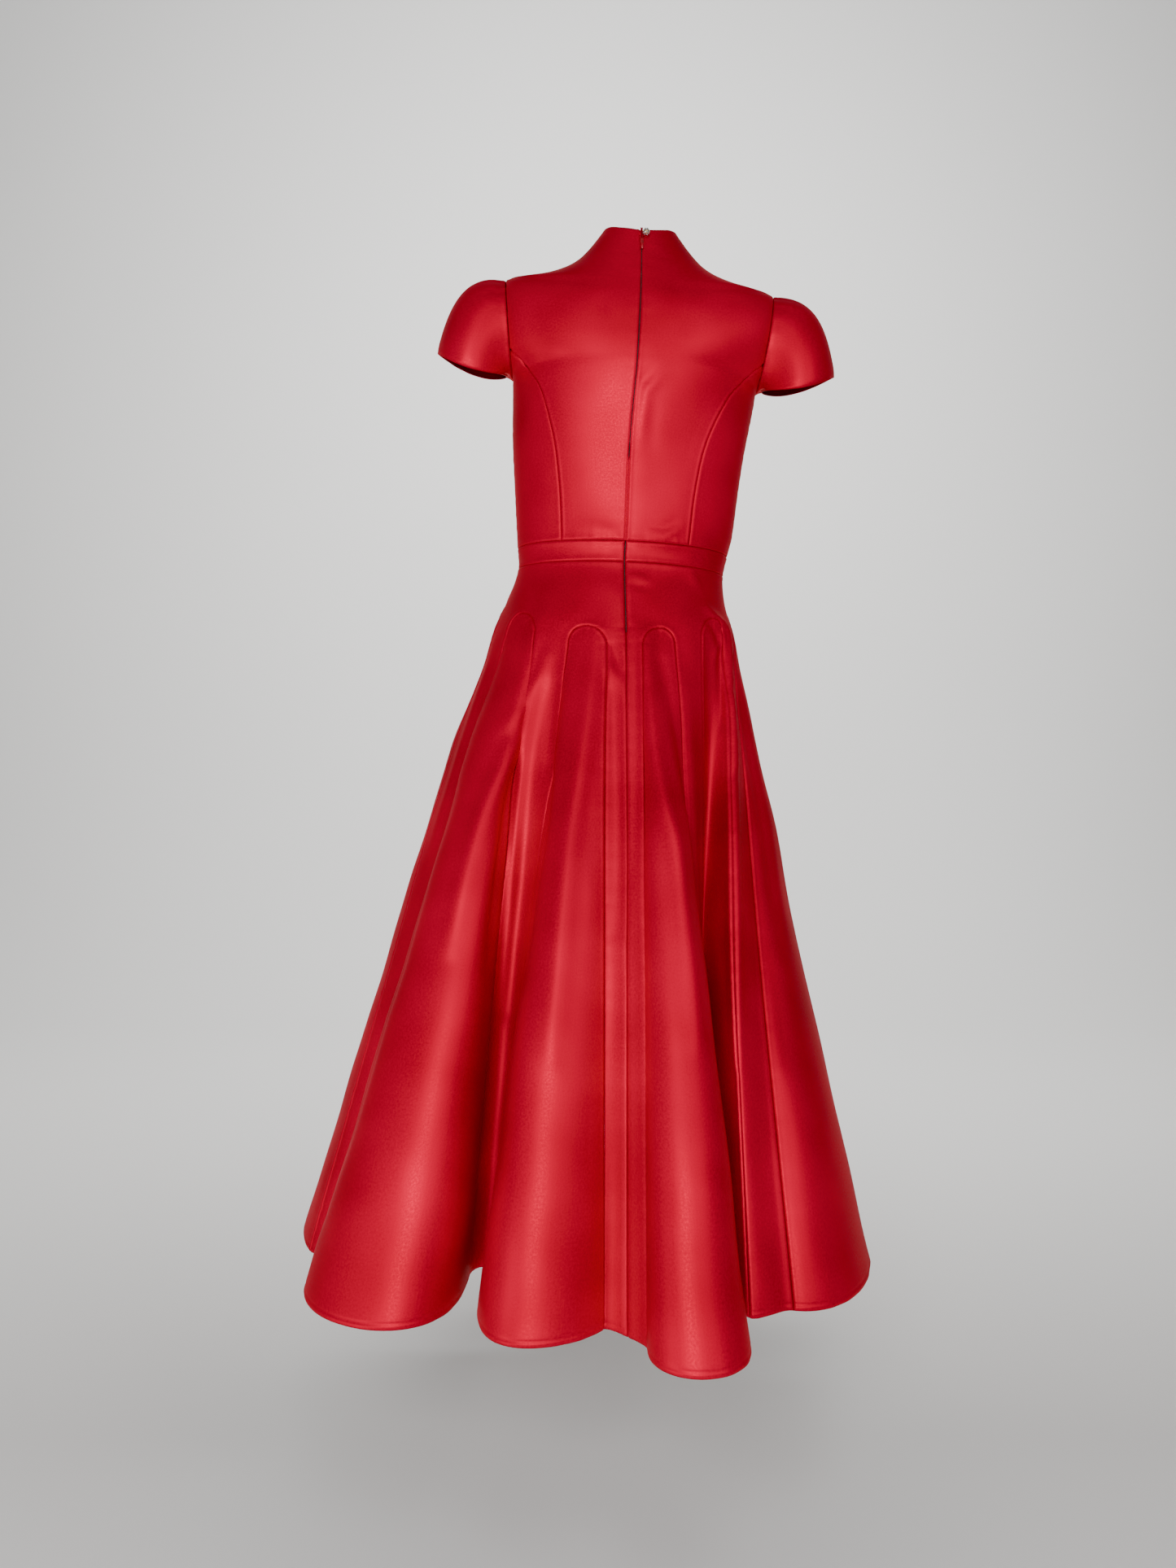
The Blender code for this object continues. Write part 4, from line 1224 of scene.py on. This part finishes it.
@dataclass
class SkirtWork:
    """The hip yoke with its fingers in three pieces, and the ten godets between the fingers.

    Its folds are lines of turns and heights on the skirt, each with a width and a depth in metres.
    """

    skirt: Skirt
    finger_columns: int = 14
    godet_columns: int = 52
    crowding: float = 0.7
    yoke_length: float = 0.090
    arc_rows: int = 14
    turn_step: float = 0.35
    height_step: float = 0.003
    back_folds: FoldRows = (
        (((-54.0, 1.078), (-60.0, 1.068), (-70.0, 1.05), (-66.0, 0.97), (-66.5, 0.88)), 0.0075, 0.007),
        (((-66.0, 0.96), (-66.5, 0.86), (-65.5, 0.766), (-62.5, 0.56)), 0.009, 0.0065),
        (((-79.0, 1.01), (-84.0, 0.942), (-86.0, 0.834), (-86.0, 0.68)), 0.014, -0.0055),
        (((44.0, 1.06), (45.0, 0.99), (47.5, 0.898), (51.5, 0.822), (53.0, 0.68)), 0.012, 0.0065),
        (((45.0, 0.885), (46.5, 0.81), (47.0, 0.66)), 0.01, -0.006),
        (((37.0, 1.01), (40.5, 0.938), (41.0, 0.862), (40.5, 0.782), (39.0, 0.6)), 0.008, 0.0065),
        (((31.0, 0.97), (28.0, 0.9), (25.5, 0.834), (24.5, 0.68)), 0.011, -0.0065),
        (((14.5, 1.04), (15.0, 0.934), (16.0, 0.862), (17.0, 0.786), (17.0, 0.58)), 0.013, 0.006),
        (((6.5, 0.975), (5.0, 0.93), (4.0, 0.86), (3.0, 0.7)), 0.009, -0.005),
        (((-10.5, 1.04), (-11.5, 0.962), (-13.0, 0.91), (-16.0, 0.834), (-18.5, 0.774), (-19.5, 0.6)),
         0.011, 0.0065),
        (((-19.0, 1.0), (-23.0, 0.92), (-25.0, 0.862), (-27.0, 0.72)), 0.012, -0.006),
        (((-50.0, 1.062), (-57.0, 1.046), (-60.5, 1.02), (-59.0, 0.93)), 0.007, -0.0046),
        (((-69.0, 1.066), (-73.0, 1.04), (-71.0, 0.96)), 0.009, -0.0036),
        (((-63.0, 1.044), (-55.0, 1.016)), 0.0045, 0.0022),
        (((-44.0, 1.126), (-50.0, 1.105)), 0.007, 0.0018),
        (((-14.0, 1.108), (-4.0, 1.111)), 0.0045, 0.0018),
        (((-16.0, 1.1), (-5.0, 1.101)), 0.0045, -0.0015),
        (((-24.0, 1.112), (-12.0, 1.084), (-6.0, 1.05)), 0.012, -0.002),
        (((14.0, 1.112), (6.0, 1.085), (3.0, 1.055)), 0.012, 0.0016),
        (((-6.0, 1.02), (-5.0, 0.9), (-3.0, 0.76)), 0.008, -0.0024),
        (((7.5, 1.03), (1.0, 0.985)), 0.006, -0.0024),
        (((8.0, 1.0), (3.5, 0.965)), 0.006, 0.0022),
        (((41.0, 0.972), (46.0, 0.94), (50.0, 0.905)), 0.009, -0.0034),
        (((39.0, 0.985), (44.0, 0.955), (49.0, 0.925)), 0.008, 0.0036),
        (((61.0, 0.85), (60.0, 0.64), (60.0, 0.4)), 0.014, -0.005),
        (((74.0, 1.03), (70.0, 0.93), (71.0, 0.78)), 0.012, 0.0044),
        (((-30.0, 0.99), (-33.0, 0.88), (-33.0, 0.7)), 0.009, 0.0018),
        (((-80.0, 0.96), (-82.0, 0.76), (-84.0, 0.56)), 0.014, -0.0026),
        (((-92.0, 0.9), (-95.0, 0.68), (-95.0, 0.46)), 0.016, 0.0026),
    )
    front_folds: FoldRows = (
        (((128.0, 1.075), (122.0, 1.05), (125.0, 0.98)), 0.01, 0.0026),
        (((133.0, 1.06), (129.0, 1.03), (131.0, 0.96)), 0.009, -0.002),
        (((168.0, 1.108), (184.0, 1.104)), 0.006, 0.001),
        (((150.0, 0.93), (152.0, 0.74), (155.0, 0.52)), 0.013, -0.0058),
        (((172.0, 0.96), (174.0, 0.82), (173.0, 0.6)), 0.012, 0.006),
        (((196.0, 0.9), (199.0, 0.7), (197.0, 0.45)), 0.014, -0.0062),
        (((221.0, 0.98), (224.0, 0.86), (223.0, 0.69)), 0.011, 0.0056),
        (((243.0, 1.06), (238.0, 1.02), (240.0, 0.94)), 0.009, 0.0022),
        (((108.0, 0.9), (104.0, 0.7), (106.0, 0.48)), 0.013, -0.0052),
        (((254.0, 0.88), (257.0, 0.68), (256.0, 0.47)), 0.013, 0.0054),
    )

    def creases(self) -> tuple[Crease, ...]:
        """Folds laid by turn and height, as lines on the skirt's surface."""
        made = []
        for places, width, depth in self.back_folds + self.front_folds:
            turns, heights = np.array(places).T
            fine = np.linspace(0.0, len(places) - 1.0, 4 * len(places))
            index = np.arange(len(places))
            line = self.skirt.at(Profile(index, turns).at(fine), Profile(index, heights).at(fine))
            made.append(Crease(tuple(map(tuple, line)), width, depth))
        return tuple(made)

    def arc_turns(self) -> Array:
        """Turns round a godet's round top, in radians, from its middle to its side."""
        return np.radians(np.linspace(0.0, 90.0, self.arc_rows + 1))

    def heights(self, turn: Array) -> Array:
        """Heights of the rows at turns: the yoke, the round tops, then the long rows to the hem."""
        top = self.skirt.godet_top(turn)
        yoke = paced(self.yoke_length, ROW_STEP, True, True)[:-1]
        arc = GODET_TOP_RADIUS * (1 - np.cos(self.arc_turns()))
        foot = top - arc[-1]
        length = GODET_TOP_AT_BACK - GODET_TOP_RADIUS - HEM_HEIGHT
        hem = np.array(HEM_POINTS)
        count = round((length - hem[-1]) / ROW_STEP)
        even = np.linspace(0.0, length - hem[-1], count + 1)[1:]
        shares = np.concatenate((even, (length - hem[::-1])[1:])) / length
        rows = [WAIST_SEAM + (top - WAIST_SEAM) * share for share in yoke]
        rows += [top - drop for drop in arc]
        rows += [foot + (HEM_HEIGHT - foot) * share for share in shares]
        return np.stack(np.broadcast_arrays(*rows))

    def half_angles(self) -> tuple[Array, int]:
        """Half of a godet's width at each row, and the row of its top."""
        rows = self.heights(np.array(0.0)).shape[0]
        top = len(paced(self.yoke_length, ROW_STEP, True, True)) - 1
        halves = np.full(rows, GODET_HALF_ANGLE)
        halves[:top] = 0.0
        halves[top : top + self.arc_rows + 1] *= np.sin(self.arc_turns())
        return halves, top

    def grid(self, starts: Array, ends: Array, shares: Array) -> tuple[Array, Array]:
        """Points between a start and an end turn on each row, and the outward directions there.

        The directions come from the whole skirt, so they agree on both sides of a seam.
        """
        turns = starts[:, None] + (ends - starts)[:, None] * shares[None, :]
        heights = np.stack([self.heights(turns[row])[row] for row in range(len(starts))])
        at, turned, raised = self.skirt.at, self.turn_step, self.height_step
        across = at(turns + turned, heights) - at(turns - turned, heights)
        up = at(turns, heights + raised) - at(turns, heights - raised)
        return at(turns, heights), unit(np.cross(up, across))

    def cell(self, start: float, end: float, zip_at: End | None = None) -> tuple[Array, Array, list[Array]]:
        """Yoke and finger between two turns, each the middle of a godet or the zip.

        Args:
            start: Turn of its first column.
            end: Turn of its last column.
            zip_at: Which end is the centre back seam, or None.

        Returns:
            The grid of points, its outward directions and its sewn edges.
        """
        halves, top = self.half_angles()
        starts = start + (0.0 if zip_at is End.START else 1.0) * halves
        ends = end - (0.0 if zip_at is End.LAST else 1.0) * halves
        count = self.finger_columns if zip_at is None else self.finger_columns // 2
        points, outward = self.grid(starts, ends, crowded(count, self.crowding))
        if zip_at is not None:
            slit = np.where(points[:, 0, 2] + HOLD_HEIGHT > ZIP_FOOT, ZIP_SLIT, 0.0)
            points = drawn_in(points, zip_at, slit / 2)
        seams = [points[0]]
        for edge in End:
            seams.append(points[:, edge.value] if zip_at is edge else points[top:, edge.value])
        return points, outward, seams

    def godet(self, index: int, creases: tuple[Crease, ...]) -> Panel:
        """Godet between two fingers, with a round top."""
        halves, top = self.half_angles()
        middle = (index + 0.5) * GODET_SPACING
        shares = crowded(self.godet_columns, self.crowding)
        points, outward = self.grid(middle - halves, middle + halves, shares)
        points, outward = points[top:], outward[top:]
        panel = Panel("godet_" + GODETS[index].name, creases=creases, ripple=0.0007, phase=0.8 * index)
        panel.grids, panel.outward = [points], [outward]
        panel.seams, panel.hems = [points[:, 0], points[:, -1]], [points[-1]]
        return panel

    def panels(self) -> list[Panel]:
        """The three yoke pieces and the ten godets."""
        half = GODET_SPACING / 2
        lefts = [half + GODET_SPACING * step for step in range(GODET_COUNT - 1)]
        plain = [(left, left + GODET_SPACING, None) for left in lefts]
        cells = {
            "skirt_back_left": [(0.0, half, End.START), *plain[0:2]],
            "skirt_front": plain[2:7],
            "skirt_back_right": [*plain[7:9], (-half, 0.0, End.LAST)],
        }
        made = []
        creases = self.creases()
        for name, places in cells.items():
            panel = Panel(name, creases=creases, ripple=0.0006, phase=0.37 * len(name))
            for start, end, zip_at in places:
                points, outward, seams = self.cell(start, end, zip_at)
                panel.grids.append(points)
                panel.outward.append(outward)
                panel.seams += seams
                panel.hems.append(points[-1])
            made.append(panel)
        return made + [self.godet(index, creases) for index in range(GODET_COUNT)]

    def build(self) -> None:
        """Make and dress every piece of the skirt."""
        for panel in self.panels():
            dress_panel(panel)


class Lamp(NamedTuple):
    """A soft square light that looks at a point, in metres and watts."""

    name: str
    spot: tuple[float, float, float]
    size: float
    watts: float
    aim: tuple[float, float, float]


@dataclass(frozen=True)
class Studio:
    """Plain pale floor, soft lights and the camera at the photo's place. Sizes in metres and watts."""

    eye: tuple[float, float, float] = (0.0662, 1.53, -0.622)
    lens_mm: float = 27.03
    sensor_mm: float = 36.0
    floor: float = -HOLD_HEIGHT
    floor_half: float = 9.0
    backdrop: float = 2.6
    sweep: float = 1.6
    wall: float = 5.0
    floor_codes: tuple[str, str] = ("#EFEEEC", "#F4F3F1")
    floor_roughness: float = 0.8
    sky_hex: str = "#FFFFFF"
    sky_strength: float = 0.20
    # The backdrop's lamp faces away from the dress, so its light reaches the back only from the backdrop
    lamps: tuple[Lamp, ...] = (
        Lamp("key", (0.40, 2.5, 0.05), 0.7, 36.0, (0.0, 0.1, -1.10)),
        Lamp("high", (-0.1, 2.2, 1.4), 0.6, 7.5, (0.0, 0.1, -0.55)),
        Lamp("left", (1.9, 1.8, -0.9), 0.9, 18.0, (0.1, 0.0, -1.10)),
        Lamp("right", (-1.5, 2.4, 0.5), 0.8, 15.0, (0.0, 0.1, -0.60)),
        Lamp("backdrop", (0.0, -0.5, 1.9), 2.0, 230.0, (0.0, -4.0, 1.4)),
    )

    def camera(self) -> None:
        """Level camera behind the dress."""
        data = bpy.data.cameras.new("camera")
        data.lens = self.lens_mm
        data.sensor_width = self.sensor_mm
        camera = bpy.data.objects.new("camera", data)
        camera.location = self.eye
        camera.rotation_euler = (math.pi / 2, 0.0, math.pi)
        bpy.context.scene.collection.objects.link(camera)
        bpy.context.scene.camera = camera

    @staticmethod
    def light(lamp: Lamp) -> None:
        """Put a lamp into the scene."""
        data = bpy.data.lights.new(lamp.name, "AREA")
        data.shape = "SQUARE"
        data.size = lamp.size
        data.energy = lamp.watts
        light = bpy.data.objects.new(lamp.name, data)
        light.location = lamp.spot
        light.rotation_euler = (Vector(lamp.aim) - Vector(lamp.spot)).to_track_quat("-Z", "Y").to_euler()
        bpy.context.scene.collection.objects.link(light)

    def ground(self) -> None:
        """Floor that curves up into the backdrop."""
        mesh = bmesh.new()
        turns = np.radians(np.linspace(0.0, 90.0, 17))
        across = -self.backdrop - self.sweep * np.sin(turns)
        lift = self.floor + self.sweep * (1 - np.cos(turns))
        line = [(self.floor_half, self.floor), *zip(across, lift), (across[-1], self.wall)]
        made = bmesh.ops.create_grid(mesh, x_segments=1, y_segments=len(line) - 1, size=1.0)
        for vertex in made["verts"]:
            step = round((1 - vertex.co.y) / 2 * (len(line) - 1))
            vertex.co = Vector((self.floor_half * vertex.co.x, *line[step]))
        for face in mesh.faces:
            face.smooth = True
        bmesh.ops.recalc_face_normals(mesh, faces=mesh.faces)
        material, tree, shader = new_material("pale_floor")
        toned(tree, shader, noise(tree, place_on(tree), 0.6), self.floor_codes)
        set_inputs(shader, {"Roughness": self.floor_roughness})
        place("floor", finished(mesh, "floor"), [material])

    def build(self) -> None:
        """Floor, sky, lights and camera."""
        self.ground()
        world = bpy.data.worlds.new("studio")
        world.use_nodes = True
        sky = {"Color": linear(self.sky_hex), "Strength": self.sky_strength}
        set_inputs(world.node_tree.nodes["Background"], sky)
        bpy.context.scene.world = world
        for lamp in self.lamps:
            self.light(lamp)
        self.camera()


class Spot(NamedTuple):
    """A place on the collar's flat facet, with its downward and outward directions."""

    seat: Array
    down: Array
    outward: Array

    def at(self, across: Array, down: Array, out: Array) -> Array:
        """World points of points given across, down and out from the seat."""
        parts = np.stack(np.broadcast_arrays(across, down, out), axis=-1).astype(float)
        return self.seat + parts @ np.array(((1.0, 0.0, 0.0), self.down, self.outward))


def collar_spot(body: Body, aside: float, height: float) -> Spot:
    """Place on the collar's back, as the solids have it."""
    high = next(row for row in NECK_ROWS if row.back_height > height)
    low = NECK_ROWS[NECK_ROWS.index(high) - 1]
    slope = (low.behind - high.behind) / (high.back_height - low.back_height)
    behind = high.behind + (high.back_height - height) * slope
    seat = body.stand(np.array(aside), np.array(behind), np.array(height))
    return Spot(seat, unit(np.array((0.0, slope, -1.0))), unit(np.array((0.0, 1.0, slope))))


@dataclass
class Solid:
    """Small trims modelled part by part into one mesh."""

    name: str
    mesh: bmesh.types.BMesh = field(default_factory=bmesh.new)

    def __post_init__(self) -> None:
        """Give the points their woven coordinates."""
        self.rule = self.mesh.verts.layers.float_vector.new("rule")

    def mark(self, slot: int, since: int) -> None:
        """Give the faces made since a count their material slot."""
        self.mesh.faces.ensure_lookup_table()
        for face in self.mesh.faces[since:]:
            face.material_index = slot

    def skin(self, rings: list[list[bmesh.types.BMVert]], cut: bool = False) -> None:
        """Faces from ring to ring, whole or cut to triangles, and one that closes each end."""
        for low, high in zip(rings, rings[1:]):
            for turn in range(len(low)):
                after = (turn + 1) % len(low)
                if cut:
                    self.mesh.faces.new((low[turn], low[after], high[turn]))
                    self.mesh.faces.new((low[after], high[after], high[turn]))
                else:
                    self.mesh.faces.new((low[turn], low[after], high[after], high[turn]))
        self.mesh.faces.new(rings[0][::-1])
        self.mesh.faces.new(rings[-1])

    def tube(self, line: Array, radius: float, sides: int = 8, slot: int = 0) -> None:
        """Round cord along a line, with closed ends.

        Args:
            line: Points of its centre line.
            radius: Of the cord.
            sides: Points round it.
            slot: Material slot.
        """
        since = len(self.mesh.faces)
        way = unit(np.gradient(line, axis=0))
        guide = np.array((0.31, 0.17, 0.93))
        side = unit(np.cross(way, guide))
        up = np.cross(side, way)
        walked = walked_along(line)
        rings = []
        for index, point in enumerate(line):
            ring = []
            for turn in range(sides):
                angle = math.tau * turn / sides
                spot = point + radius * (side[index] * math.cos(angle) + up[index] * math.sin(angle))
                vertex = self.mesh.verts.new(spot)
                vertex[self.rule] = (radius * angle, walked[index], 0.0)
                ring.append(vertex)
            rings.append(ring)
        self.skin(rings)
        self.mark(slot, since)

    def block(self, spot: Spot, outline: Sequence[tuple[float, float]], heights: tuple[float, float],
              edge: float) -> None:
        """Flat casting with rounded edges.

        Args:
            spot: Where it lies.
            outline: Its corners across and down, in turning order.
            heights: Its lower and upper face, outwards.
            edge: Radius of its edges.
        """
        rings = []
        for height in heights:
            corners = [spot.at(across, down, height) for across, down in outline]
            rings.append([self.mesh.verts.new(corner) for corner in corners])
        low, high = rings
        faces = [self.mesh.faces.new(low), self.mesh.faces.new(high[::-1])]
        for index in range(len(outline)):
            after = (index + 1) % len(outline)
            faces.append(self.mesh.faces.new((low[after], low[index], high[index], high[after])))
        edges = list({line for face in faces for line in face.edges if line.calc_face_angle(0.0) > 0.6})
        bmesh.ops.bevel(
            self.mesh, geom=edges, offset=edge, segments=3, profile=0.5, affect="EDGES", material=-1,
            clamp_overlap=True,
        )

    def ball(self, centre: Array, radius: float, fine: int) -> None:
        """Round ball with fine points round it."""
        made = bmesh.ops.create_uvsphere(self.mesh, u_segments=fine, v_segments=fine // 2, radius=radius)
        bmesh.ops.translate(self.mesh, verts=made["verts"], vec=Vector(centre))

    def stone(self, centre: Array, outward: Array, radius: float, slot: int) -> None:
        """Cut stone with a flat table and two rounds of facets."""
        since = len(self.mesh.faces)
        side = unit(np.cross(outward, (0.3, 0.2, 0.9)))
        up = np.cross(outward, side)
        rings = []
        for share, rise, turned in ((1.0, -0.25, 0.0), (0.86, 0.28, 0.5), (0.52, 0.52, 0.0)):
            turns = [math.tau * (turn + turned) / 8 for turn in range(8)]
            flat = [share * (side * math.cos(turn) + up * math.sin(turn)) for turn in turns]
            rings.append([self.mesh.verts.new(centre + radius * (way + rise * outward)) for way in flat])
        self.skin(rings, cut=True)
        self.mark(slot, since)

    def build(self, materials: Sequence[Material], flat_slots: Sequence[int] = ()) -> Piece:
        """Close the mesh and place it, smooth apart from the slots named."""
        bmesh.ops.recalc_face_normals(self.mesh, faces=self.mesh.faces)
        for face in self.mesh.faces:
            face.smooth = face.material_index not in flat_slots
        data = finished(self.mesh, self.name)
        ruled_map(data, "rule")
        return place(self.name, data, materials)


@dataclass
class ZipWork:
    """The concealed zip: its tape and coil behind the slit, its slider and its pull tab."""

    body: Body
    armhole: Armhole
    half_width: float = 0.0118
    behind_cloth: float = 0.0022
    thickness: float = 0.0009
    coil_radius: float = 0.0011
    coil_wire: float = 0.00035
    # Real coils have a turn each 1.0 mm. It is drawn at 1.8 mm, since only slivers of it show in the slit.
    coil_pitch: float = 0.0018
    aside: float = -0.0004
    overrun: float = 0.004
    upper_rows: int = 74
    lower_rows: int = 24
    waist_half: float = 0.15
    coil_flat: float = 0.45
    coil_sunk: float = 0.4
    slider_face: float = 0.0021
    slider_edge: float = 0.0004
    bridge_reach: float = 0.0020
    bridge_shift: float = 0.0002
    bridge_seat: float = 0.0019
    bridge_rise: float = 0.0018
    bridge_wire: float = 0.00042
    hinge_out: float = 0.0029
    eye_radius: float = 0.0011
    eye_drop: float = 0.0006
    eye_wire: float = 0.00038
    tab_half: float = 0.00042
    tab_edge: float = 0.0002
    slider_outline: tuple[tuple[float, float], ...] = (
        (-0.0021, -0.0036), (0.0021, -0.0036), (0.0021, 0.0004), (0.0014, 0.0037), (-0.0014, 0.0037),
        (-0.0021, 0.0004),
    )
    tab_outline: tuple[tuple[float, float], ...] = (
        (-0.0007, 0.0016), (0.0007, 0.0016), (0.0013, 0.0060), (0.0016, 0.0112), (0.0012, 0.0134),
        (0.0, 0.0141), (-0.0012, 0.0134), (-0.0016, 0.0112), (-0.0013, 0.0060),
    )

    def line(self, aside: float) -> Array:
        """Points down the back at a distance from the centre, from the slider to the zip's foot."""
        form = Bodice(self.body, self.armhole, Face.BACK)
        rows = np.linspace(form.row_at(SLIDER_HEIGHT + self.overrun), form.rows - 1.0, self.upper_rows)
        turns = np.degrees(np.arcsin(aside / form.edge_at(rows)[..., 0]))
        upper = form.at(rows, turns)
        heights = np.linspace(WAIST_SEAM + WAISTBAND_WIDTH, ZIP_FOOT - self.overrun, self.lower_rows)
        turn = math.degrees(math.asin(aside / self.waist_half))
        return np.concatenate((upper, self.body.ring(np.full(self.lower_rows, turn), heights)))

    def tape(self) -> None:
        """Woven tape on both sides of the slit."""
        asides = self.half_width * np.linspace(1.0, -1.0, 15)
        points = np.stack([self.line(aside) for aside in asides], axis=1)
        outward = outward_of(points, 1.0)
        if outward[..., 1].mean() < 0:
            outward = -outward
        points = points - outward * self.behind_cloth
        mesh = Solid("woven_zip_tape")
        tops = [[mesh.mesh.verts.new(spot) for spot in row] for row in points]
        feet = [[mesh.mesh.verts.new(spot) for spot in row] for row in points - outward * self.thickness]
        for row, (top, foot) in enumerate(zip(tops, feet)):
            for column, pair in enumerate(zip(top, foot)):
                for vertex in pair:
                    vertex[mesh.rule] = (asides[column], points[row, column, 2], 0.0)
        last_row, last = len(tops) - 1, len(asides) - 1
        for row in range(last_row):
            for column in range(last):
                for side in (tops, feet):
                    near, far = side[row], side[row + 1]
                    mesh.mesh.faces.new((near[column], near[column + 1], far[column + 1], far[column]))
        rim = [(0, column) for column in range(last)]
        rim += [(row, last) for row in range(last_row)]
        rim += [(last_row, column) for column in range(last, 0, -1)]
        rim += [(row, 0) for row in range(last_row, 0, -1)]
        for (row, column), (next_row, next_column) in zip(rim, rim[1:] + rim[:1]):
            corners = (tops[row][column], tops[next_row][next_column])
            mesh.mesh.faces.new((*corners, feet[next_row][next_column], feet[row][column]))
        middle = self.line(self.aside * 0.5)
        sunk = self.behind_cloth + self.coil_sunk * self.coil_radius
        centre = middle - outward[:, len(asides) // 2] * sunk
        self.coil(mesh, centre)
        piece = mesh.build([Tape().material(), Nylon().material()])
        dressed(piece, "zip_tape")

    def coil(self, mesh: Solid, centre: Array) -> None:
        """Nylon coil down the middle of the tape."""
        fine, line = stepped_along(centre, self.overrun, self.coil_pitch / 8)
        angle = math.tau * fine / self.coil_pitch
        line[:, 0] += self.coil_radius * np.cos(angle)
        line[:, 1] += self.coil_flat * self.coil_radius * np.sin(angle)
        mesh.tube(line, self.coil_wire, 5, 1)

    def slider(self) -> None:
        """Slider body, narrower at its foot, with the bridge that holds the tab."""
        spot = collar_spot(self.body, self.aside, SLIDER_HEIGHT)
        mesh = Solid("enamelled_zip_slider")
        mesh.block(spot, self.slider_outline, (TRIM_GAP, self.slider_face), self.slider_edge)
        turns = np.radians(np.linspace(-6.0, 186.0, 15))
        down = -self.bridge_reach * np.cos(turns) - self.bridge_shift
        out = self.bridge_seat + self.bridge_rise * np.sin(turns)
        mesh.tube(spot.at(0 * turns, down, out), self.bridge_wire, 8)
        dressed(mesh.build([Lacquer().material()]), "zip_slider")

    def pull(self) -> None:
        """Flat drop-shaped tab with an eye round the bridge."""
        spot = collar_spot(self.body, self.aside, SLIDER_HEIGHT)
        spot = spot._replace(seat=spot.at(0.0, 0.0, self.hinge_out))
        mesh = Solid("enamelled_zip_pull")
        turns = np.radians(np.linspace(0.0, 360.0, 21))[:-1]
        down = self.eye_drop - self.eye_radius * np.cos(turns)
        eye = spot.at(self.eye_radius * np.sin(turns), down, 0 * turns)
        mesh.tube(np.concatenate((eye, eye[:2])), self.eye_wire, 8)
        mesh.block(spot, self.tab_outline, (-self.tab_half, self.tab_half), self.tab_edge)
        dressed(mesh.build([Lacquer().material()]), "zip_pull", "zip_pull")

    def build(self) -> None:
        """Make and dress the tape, the slider and the tab."""
        self.tape()
        self.slider()
        self.pull()


class StoneRow(NamedTuple):
    """Round of equal stones on the ball: its tilt in degrees, and its turn as a share of their spacing."""

    tilt: float
    count: int
    size: float
    turned: float


@dataclass
class ButtonWork:
    """The jewelled ball button and the satin cord that loops round its foot."""

    body: Body
    aside: float = -0.0057
    radius: float = 0.0045
    cord: float = 0.0011
    loop_radius: float = 0.0034
    leg: float = 0.0095
    legs_half_gap: float = 0.0010
    opening: float = 40.0
    loop_foot: float = 0.0042
    stones: tuple[StoneRow, ...] = (
        StoneRow(0.0, 1, 0.00125, 0.0),
        StoneRow(52.0, 6, 0.00112, 0.0),
        StoneRow(98.0, 9, 0.00095, 0.5),
    )
    inner_share: float = 0.86
    seat_share: float = 0.15
    prong: float = 0.00032
    prong_tilt: float = 0.42
    prong_turn: float = 0.30

    def ball(self) -> None:
        """Gold ball set with a centre stone and two rounds of stones, each with a small prong beside it."""
        spot = collar_spot(self.body, self.aside, BUTTON_HEIGHT)
        mesh = Solid("gold_ball_button")
        centre = spot.at(0.0, 0.0, self.radius + TRIM_GAP)
        inner = self.inner_share * self.radius
        mesh.ball(centre, inner, 24)

        def way(tilt: float, turn: float) -> Array:
            """Direction out of the ball at a tilt from its outward pole and a turn about it."""
            across, down = math.sin(tilt) * math.cos(turn), math.sin(tilt) * math.sin(turn)
            return spot.at(across, down, math.cos(tilt)) - spot.seat

        for row in self.stones:
            tilt = math.radians(row.tilt)
            for index in range(row.count):
                turn = math.tau * (index + row.turned) / row.count
                outward = way(tilt, turn)
                mesh.stone(centre + outward * (inner + self.seat_share * row.size), outward, row.size, 1)
                if tilt:
                    beside = way(tilt - self.prong_tilt, turn + self.prong_turn / math.sin(tilt))
                    mesh.ball(centre + beside * (inner + self.prong / 2), self.prong, 8)
        piece = mesh.build([Metal().material(), Stone().material()], (1,))
        dressed(piece, "button")

    def loop(self) -> None:
        """Turned satin cord: two ends sewn on the left of the slit, and a round turn about the foot."""
        spot = collar_spot(self.body, self.aside, BUTTON_HEIGHT)
        turns = np.radians(np.linspace(self.opening, 360.0 - self.opening, 30))
        out = TRIM_GAP + self.cord / 2
        ring = spot.at(self.loop_radius * np.cos(turns), -self.loop_radius * np.sin(turns), out)
        start = spot.at(np.linspace(self.leg, self.loop_foot, 7)[:-1], -self.legs_half_gap, out)
        end = spot.at(np.linspace(self.loop_foot, self.leg, 7)[1:], self.legs_half_gap, out)
        mesh = Solid("satin_button_loop")
        mesh.tube(np.concatenate((start, ring, end)), self.cord / 2, 12)
        dressed(mesh.build([SATIN_FACE.material()]), "button_loop")

    def build(self) -> None:
        """Make and dress the ball and its loop."""
        self.ball()
        self.loop()


def main() -> None:
    """Build the dress and its studio."""
    logging.basicConfig(level=logging.INFO, format="%(message)s")
    body, armhole = Body(), Armhole()
    BodiceWork(body, armhole).build()
    SleeveWork(body, armhole).build()
    WaistWork(body).build()
    skirt = Skirt(body)
    SkirtWork(skirt).build()
    ZipWork(body, armhole).build()
    ButtonWork(body).build()
    Studio().build()


if __name__ == "__main__":
    main()
